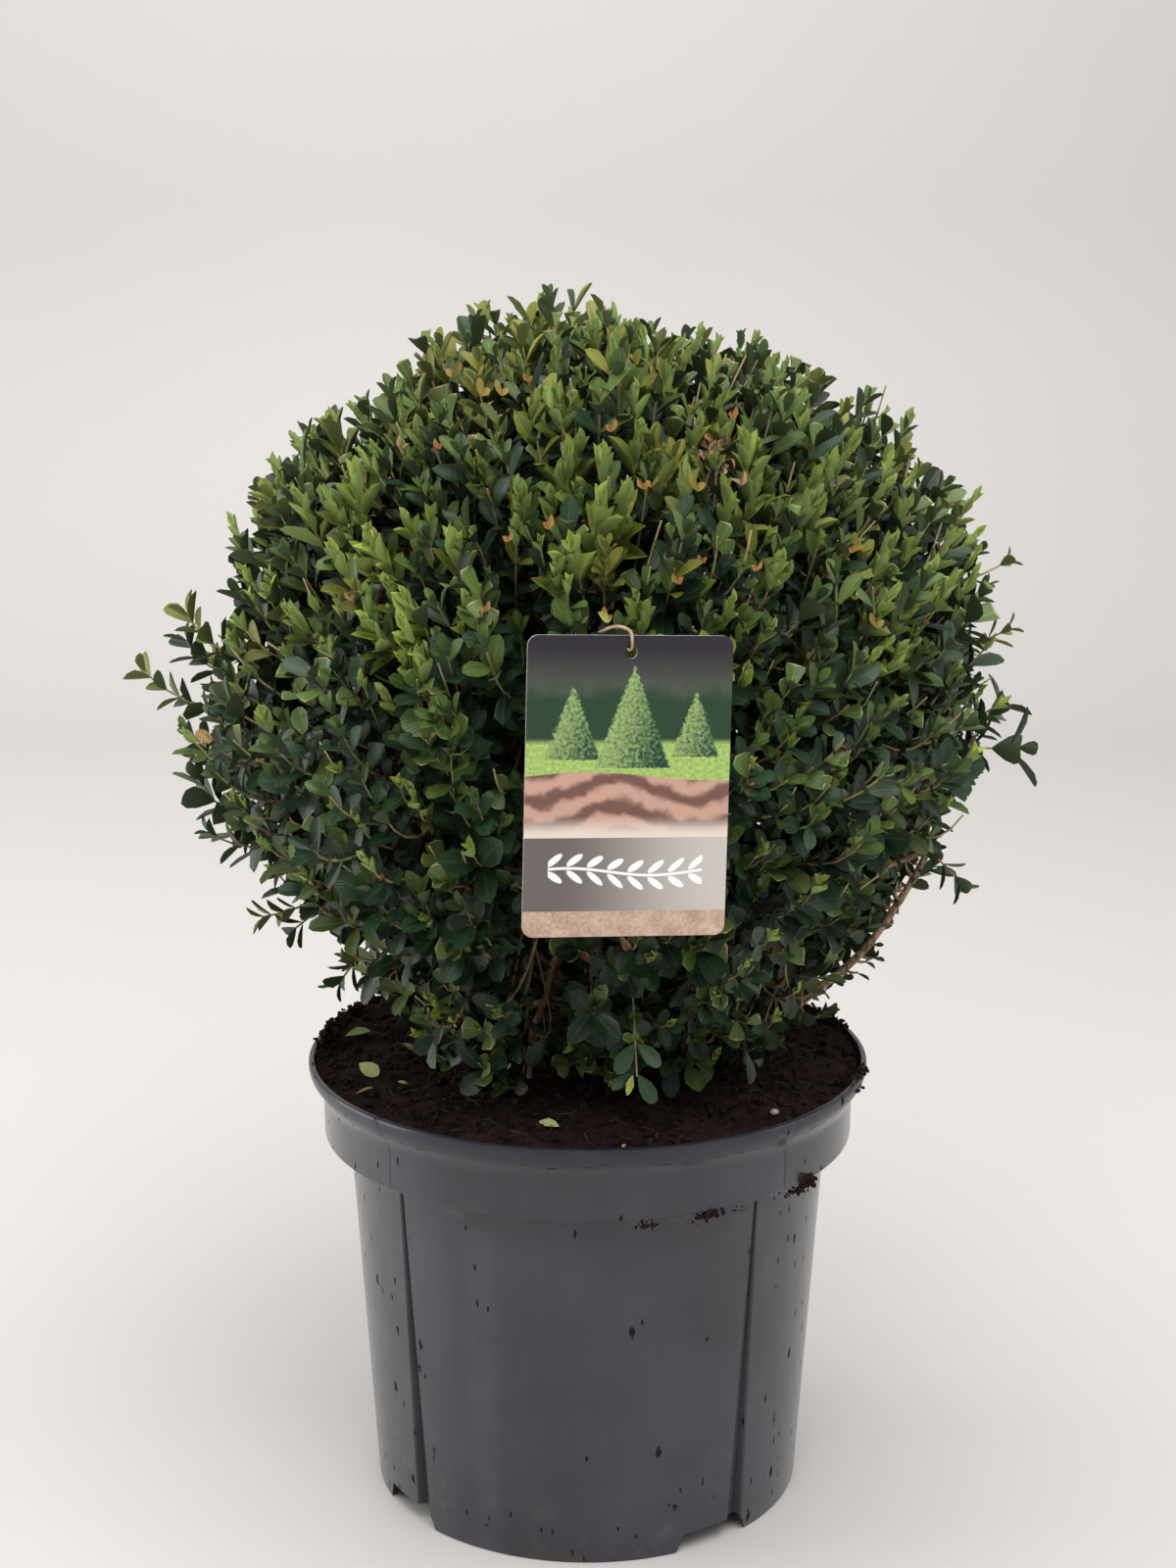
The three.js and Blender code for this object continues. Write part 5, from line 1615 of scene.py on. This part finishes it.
class BOXBALL_OT_soil(bpy.types.Operator):
    """Adds the peat soil with its crumbs, fibres, fallen leaves and stone"""

    bl_idname = "boxball.add_soil"
    bl_label = "Soil"

    def execute(self, context):
        settings = context.scene.boxball_soil
        random = np.random.default_rng(5)
        material = soil_finish(tuple(settings.dark), tuple(settings.warm))
        settle(linked("peat_soil", self.body(random, material)), "soil", "soil")
        self.crumbs(settings, random, material)
        self.litter(random)
        return {"FINISHED"}

    def body(self, random, material):
        """A closed body of soil: a lumpy top and a plain skirt down inside the pot."""
        sides, rings = 160, 56
        edge = LIP_RADIUS - LIP_WALL - 0.0004
        corners = [(0, 0, float(soil_height(0.0, 0.0)))]
        waves = random.uniform(-1, 1, (26, 2)) * random.uniform(90, 900, (26, 1))
        phases = random.uniform(0, 2 * math.pi, 26)
        for k in range(1, rings + 1):
            radius = edge * k / rings
            for j in range(sides):
                x, y = polar(radius, j * 2 * math.pi / sides)
                lumps = np.sin(waves[:, 0] * x + waves[:, 1] * y + phases).sum() * 0.00016
                lumps += random.normal(0, 0.00022)
                calm = float(smoothstep(radius, 0.010, 0.03))
                corners.append((x, y, float(soil_height(x, y)) + (lumps - 0.0003) * calm))
        skirt = [
            (edge, POT_HEIGHT - LIP_HEIGHT + LIP_WALL + 0.0004),
            (BAND_RADIUS - WALL - 0.0004, POT_HEIGHT - LIP_HEIGHT - 0.001),
            (BAND_RADIUS - WALL - 0.0004, BAND_BOTTOM + 0.006),
            (wall_radius(BAND_BOTTOM) - WALL - 0.0036, BAND_BOTTOM - 0.002),
            (wall_radius(FLOOR_LIFT) - WALL - 0.0040, FLOOR_LIFT + WALL + 0.0005),
        ]
        for radius, z in skirt:
            corners += [(*polar(radius, j * 2 * math.pi / sides), z) for j in range(sides)]
        corners.append((0, 0, skirt[-1][1]))
        faces = [(0, 1 + j, 1 + (j + 1) % sides) for j in range(sides)]
        levels = rings + len(skirt)
        for k in range(levels - 1):
            quads = ring_quads(1 + k * sides, 1 + (k + 1) * sides, sides)
            faces += [(first, last, third, second) for first, second, third, last in quads]
        last, rim = len(corners) - 1, 1 + (levels - 1) * sides
        faces += [(last, rim + (j + 1) % sides, rim + j) for j in range(sides)]
        return mesh_of("peat_soil", corners, faces, material)

    def crumbs(self, settings, random, material):
        """Crumbs all over the surface, some on the lip, and lumps caught under the band at the right."""
        places, extents = [], []
        for _ in range(settings.crumbs):
            radius = (LIP_RADIUS - LIP_WALL - 0.002) * math.sqrt(random.random())
            x, y = polar(radius, random.uniform(0, 2 * math.pi))
            size = min(settings.crumb_size * random.lognormal(-0.25, 0.5), 0.0065)
            places.append((x, y, float(soil_height(x, y)) + size * 0.12))
            extents.append(size)
        for degrees, out, z, count, spread, size in CRUMB_CLUSTERS:
            for _ in range(count):
                angle = math.radians(degrees + random.normal(0, spread * 0.55))
                radius = out + random.normal(0, 0.0012)
                extents.append(size * random.uniform(0.45, 1.3))
                places.append((*polar(radius, angle), z + random.normal(0, 0.0008)))
        extents = np.array(extents)
        axes = unit(random.normal(0, 1, (len(places), 3)))
        faces = unit(random.normal(0, 1, (len(places), 3)))
        stretch = random.uniform(0.6, 1.5, (len(places), 3)) * extents[:, None]
        vectors = {"axis": axes, "face": faces, "extent": stretch}
        source = point_object("crumb_points", places, vectors, {})
        shape = crumb("crumb_shape", random)
        values = {"Shape": shape, "Size": 1.0, "Wobble": 0.4, "Seed": 3, "Finish": material}
        piece = grown("soil_crumbs", source, scatter_tree(), values)
        bpy.data.objects.remove(shape)
        settle(piece, "soil")

    def litter(self, random):
        """Fibres, fallen leaves and one small stone, lying on the soil."""
        straw = twig_finish("straw_fibre", (0.10, 0.055, 0.032), (0.03, 0.016, 0.011), 0.8)
        lines = []
        for _ in range(FIBRE_COUNT):
            radius = 0.114 * math.sqrt(random.random())
            start = np.array([*polar(radius, random.uniform(0, 2 * math.pi)), 0.0])
            heading = random.uniform(0, 2 * math.pi)
            length = random.uniform(0.003, 0.010)
            path, girths = [], []
            for k in range(3):
                turn = heading + 0.4 * k * random.normal(0, 0.5)
                place = start + np.array([math.cos(turn), math.sin(turn), 0]) * length * k / 2
                out = math.hypot(place[0], place[1])
                if out > LITTER_LIMIT:
                    place[:2] *= LITTER_LIMIT / out
                place[2] = float(soil_height(place[0], place[1])) + 0.0007 + 0.0006 * (k == 1)
                path.append(place)
                girths.append(random.uniform(0.00012, 0.0003))
            lines.append((path, girths))
        settle(twigs_along("soil_fibres", lines, 4, straw), "soil")
        self.fallen_leaves()
        self.stone()

    def fallen_leaves(self):
        """The fallen leaves, each let down until it touches the soil, as one mesh."""
        shapes = leaf_shapes()
        sheet = bmesh.new()
        layer = sheet.verts.layers.float.new("tint")
        for kind, (x, y), degrees, length, width, tilt, lean, tint in FALLEN_LEAVES:
            part = shapes[kind].data.copy()
            place = (
                Matrix.Translation((x, y, 0))
                @ Matrix.Rotation(math.radians(lean), 4, "X")
                @ Matrix.Rotation(math.radians(degrees), 4, "Z")
                @ Matrix.Rotation(math.radians(tilt), 4, "X")
                @ Matrix.Diagonal((width, length, length * 0.8, 1))
            )
            part.transform(place)
            low = min(v.co.z - float(soil_height(v.co.x, v.co.y)) for v in part.vertices)
            part.transform(Matrix.Translation((0, 0, 0.0008 - low)))
            before = len(sheet.verts)
            sheet.from_mesh(part)
            sheet.verts.ensure_lookup_table()
            for corner in sheet.verts[before:]:
                corner[layer] = tint
            bpy.data.meshes.remove(part)
        for shape in shapes.values():
            bpy.data.objects.remove(shape)
        material = leaf_finish(
            "fallen_leaf", (0.33, 0.22, 0.12), (0.48, 0.58, 0.22), (0.42, 0.46, 0.28), 0.42,
        )
        mesh = mesh_from(sheet, "fallen_leaves", material)
        mesh.polygons.foreach_set("material_index", [0] * len(mesh.polygons))
        settle(linked("fallen_leaves", mesh), "foliage")

    def stone(self):
        sheet = bmesh.new()
        bmesh.ops.create_icosphere(sheet, subdivisions=3, radius=0.0017)
        for corner in sheet.verts:
            x, y, z = corner.co * 1900
            corner.co *= 1 + 0.10 * math.sin(1.9 * x + 1) * math.cos(1.6 * y) + 0.06 * math.sin(2.7 * z + x)
            corner.co.z *= 0.72
        height = float(soil_height(*STONE_PLACE)) + 0.0011
        bmesh.ops.translate(sheet, verts=sheet.verts, vec=(*STONE_PLACE, height))
        f = Finish("pinkish_stone")
        grain = f.grain(700.0, 4.0)
        colour = f.mix(grain, (0.36, 0.24, 0.23), (0.56, 0.44, 0.42))
        material = f.close(colour, grain * 0.2 + 0.5, grain, 0.0004, 0.5)
        settle(linked("soil_stone", finished(mesh_from(sheet, "soil_stone"), material)), "soil")


class BOXBALL_OT_limbs(bpy.types.Operator):
    """Adds the main stem and the five boughs, with bark relief"""

    bl_idname = "boxball.add_limbs"
    bl_label = "Stem and boughs"

    def execute(self, context):
        settings = context.scene.boxball_limbs
        random = np.random.default_rng(8)
        material = bark_finish(tuple(settings.light), tuple(settings.dark), tuple(settings.red))
        limbs = [("main_stem", smooth_route(STEM_ROUTE, 44), (0.0070, 0.0054), 28, 0.0042)]
        for name, (_, points, radii, _) in BOUGHS.items():
            limbs.append((name, smooth_route(points, 90), radii, 14, 0.0))
        for name, route, radii, sides, flare in limbs:
            piece = limb(f"{name}_bark", route, radii, sides, settings.relief, random, material, flare)
            settle(piece, "bark", name)
        return {"FINISHED"}


class BOXBALL_OT_foliage(bpy.types.Operator):
    """Adds the twigs, shoots and leaves, grown from the boughs"""

    bl_idname = "boxball.add_foliage"
    bl_label = "Twigs and leaves"

    def execute(self, context):
        settings = context.scene.boxball_foliage
        plant = Growth(settings)
        self.twigs(plant)
        self.leaves(plant, settings)
        return {"FINISHED"}

    def twigs(self, plant):
        finishes = {
            "old": twig_finish("brown_twig", (0.42, 0.27, 0.14), (0.16, 0.09, 0.05), 0.55),
            "young": twig_finish("green_twig", (0.44, 0.34, 0.15), (0.20, 0.15, 0.06), 0.45),
            "front": twig_finish("front_twig", (0.54, 0.33, 0.20), (0.24, 0.13, 0.075), 0.6),
            "straw": twig_finish("straw_twig", (0.62, 0.49, 0.28), (0.34, 0.23, 0.12), 0.55),
        }
        for kind, lines in plant.lines.items():
            piece = twigs_along(f"{kind}_twigs", lines, 9 if kind == "front" else 4, finishes[kind])
            settle(piece, "bark", *FOLIAGE_NODES)

    def kinds(self, settings):
        """Which shape and which finish each kind of leaf takes."""
        dark, green = tuple(settings.dark), tuple(settings.green)
        olive, fresh = tuple(settings.olive), tuple(settings.fresh)
        dull = (0.075, 0.105, 0.055)
        old = leaf_finish("old_leaf", dimmed(dark, 0.22), dark, dull, 0.21)
        grown_up = leaf_finish("grown_leaf", dimmed(green, 0.28), green, dull, 0.23)
        upper = leaf_finish("upper_leaf", dimmed(olive, 0.35), olive, (0.16, 0.20, 0.07), 0.27)
        new = leaf_finish("new_leaf", dimmed(fresh, 0.32), fresh, (0.27, 0.38, 0.12), 0.34, 0.2)
        worn = (0.42, 0.36, 0.20)
        clipped = leaf_finish("clipped_leaf", dimmed(green, 0.6), green, dull, 0.27, 0.3, worn)
        yellow = leaf_finish("yellow_leaf", (0.22, 0.12, 0.03), (0.38, 0.30, 0.07), dull, 0.35)
        withered = leaf_finish(
            "withered_leaf", (0.20, 0.105, 0.055), (0.42, 0.26, 0.14), (0.30, 0.20, 0.12), 0.6,
        )
        scales = leaf_finish("bud_scale", (0.34, 0.15, 0.05), (0.66, 0.36, 0.12), (0.5, 0.3, 0.12), 0.5)
        return {
            "dark_broad": ("broad", old),
            "dark_narrow": ("narrow", old),
            "shaded": ("shaded", old),
            "green_broad": ("broad", grown_up),
            "green_narrow": ("narrow", grown_up),
            "olive_narrow": ("narrow", upper),
            "fresh": ("young", new),
            "clipped": ("clipped", clipped),
            "yellowed": ("broad", yellow),
            "withered": ("withered", withered),
            "bud_scales": ("young", scales),
        }

    def leaves(self, plant, settings):
        shapes = leaf_shapes()
        tree = scatter_tree()
        for kind, (shape, material) in self.kinds(settings).items():
            drawn = plant.leaves.get(kind, [])
            if not drawn:
                raise RuntimeError(f"no {kind} leaves grew")
            points, axes, faces, extents, tints = (np.array(column) for column in zip(*drawn))
            for part, start in enumerate(range(0, len(points), LEAVES_A_PIECE)):
                held = slice(start, start + LEAVES_A_PIECE)
                name = f"leaves_{kind}" if part == 0 else f"leaves_{kind}_{part + 1}"
                vectors = {"axis": axes[held], "face": faces[held], "extent": extents[held]}
                source = point_object(f"{name}_points", points[held], vectors, {"tint": tints[held]})
                values = {"Shape": shapes[shape], "Size": 1.0, "Wobble": 0.12, "Seed": 7, "Finish": material}
                settle(grown(name, source, tree, values), "foliage", *FOLIAGE_NODES)
        for shape in shapes.values():
            bpy.data.objects.remove(shape)


class BOXBALL_OT_tag(bpy.types.Operator):
    """Adds the care tag and the twig that carries it"""

    bl_idname = "boxball.add_tag"
    bl_label = "Care tag"

    def execute(self, context):
        settings = context.scene.boxball_tag
        settle(linked("care_tag", self.card(settings)), "tag", "tag")
        self.hook(settings)
        return {"FINISHED"}

    def card(self, settings):
        """A card with round corners and a hole, printed on the side away from the plant."""
        half_w, half_h = settings.width / 2, settings.height / 2
        outline, hole = [], []
        for cx, cz, start in ((1, 1, 0), (-1, 1, 90), (-1, -1, 180), (1, -1, 270)):
            for k in range(9):
                across, up = polar(settings.corner, math.radians(start + 90 * k / 8))
                outline.append((
                    cx * (half_w - settings.corner) + across, cz * (half_h - settings.corner) + up,
                ))
        for k in range(24):
            across, up = polar(TAG_HOLE_RADIUS, k * math.pi / 12)
            hole.append((across, half_h - TAG_HOLE_DROP + up))
        sheet = bmesh.new()
        loops = []
        for path in (outline, hole):
            corners = [sheet.verts.new((x, 0, z)) for x, z in path]
            loops += [sheet.edges.new(pair) for pair in zip(corners, corners[1:] + corners[:1])]
        bmesh.ops.triangle_fill(sheet, use_beauty=True, use_dissolve=False, edges=loops)
        flat = list(sheet.faces)
        for face in flat:
            if face.normal.y > 0:
                face.normal_flip()
        for corner in sheet.verts:
            corner.co.y = -settings.thickness / 2
        raised = bmesh.ops.extrude_face_region(sheet, geom=flat)
        moved = [item for item in raised["geom"] if isinstance(item, bmesh.types.BMVert)]
        bmesh.ops.translate(sheet, verts=moved, vec=(0, settings.thickness, 0))
        bmesh.ops.recalc_face_normals(sheet, faces=sheet.faces)
        layer = sheet.loops.layers.uv.new("UVMap")
        for face in sheet.faces:
            face.material_index = 0 if face.normal.y < -0.5 else 1
            for loop in face.loops:
                x, _, z = loop.vert.co
                loop[layer].uv = (x / settings.width + 0.5, z / settings.height + 0.5)
        mesh = mesh_from(sheet, "care_tag", tag_finish(settings.width, settings.height))
        mesh.materials.append(plain_card_finish())
        mesh.transform(Matrix.Translation(tuple(TAG_CENTRE)) @ TAG_TURN.to_4x4())
        return mesh

    def hook(self, settings):
        """A thin twig that comes over the card's top edge and back through its hole."""
        hole = settings.height / 2 - TAG_HOLE_DROP + TAG_HOLE_RADIUS - HOOK_CLEARANCE - HOOK_RADII[0]
        points = np.array([
            (-0.010, 0.050, 0.046), (-0.0085, 0.022, 0.053), (-0.0066, 0.006, 0.0570),
            (-0.0042, 0.0005, 0.0580), (-0.0015, -0.0022, 0.0572), (-0.0004, -0.0024, 0.0555),
            (0, -0.0022, hole + 0.0022), (0, 0, hole), (0, 0.005, hole - 0.0004),
        ])
        route = smooth_route(points @ TAG_AXES.T + TAG_CENTRE, 60)
        material = twig_finish("hook_twig", (0.62, 0.44, 0.30), (0.30, 0.18, 0.11), 0.5)
        random = np.random.default_rng(2)
        settle(limb("tag_twig", route, HOOK_RADII, 10, HOOK_RELIEF, random, material), "bark")


class BOXBALL_PT_panel(bpy.types.Panel):
    """Lists the pieces of the plant and their settings"""

    bl_label = "Box Ball"
    bl_idname = "BOXBALL_PT_panel"
    bl_space_type = "VIEW_3D"
    bl_region_type = "UI"
    bl_category = "Box Ball"

    def draw(self, context):
        for operator, holder, _ in PIECES:
            box = self.layout.box()
            box.operator(operator.bl_idname)
            settings = getattr(context.scene, holder)
            for key in settings.__annotations__:
                box.prop(settings, key)


# Each operator, the scene's property that holds its settings, and their class
PIECES = (
    (BOXBALL_OT_stage, "boxball_stage", StageSettings),
    (BOXBALL_OT_pot, "boxball_pot", PotSettings),
    (BOXBALL_OT_soil, "boxball_soil", SoilSettings),
    (BOXBALL_OT_limbs, "boxball_limbs", LimbSettings),
    (BOXBALL_OT_foliage, "boxball_foliage", FoliageSettings),
    (BOXBALL_OT_tag, "boxball_tag", TagSettings),
)


def register():
    for operator, holder, settings in PIECES:
        bpy.utils.register_class(settings)
        setattr(bpy.types.Scene, holder, bpy.props.PointerProperty(type=settings))
        bpy.utils.register_class(operator)
    bpy.utils.register_class(BOXBALL_PT_panel)


def unregister():
    bpy.utils.unregister_class(BOXBALL_PT_panel)
    for operator, holder, settings in reversed(PIECES):
        bpy.utils.unregister_class(operator)
        delattr(bpy.types.Scene, holder)
        bpy.utils.unregister_class(settings)


def main():
    register()
    bpy.ops.boxball.add_stage()
    bpy.ops.boxball.add_pot()
    bpy.ops.boxball.add_soil()
    bpy.ops.boxball.add_limbs()
    bpy.ops.boxball.add_foliage()
    bpy.ops.boxball.add_tag()


if __name__ == "__main__":
    main()
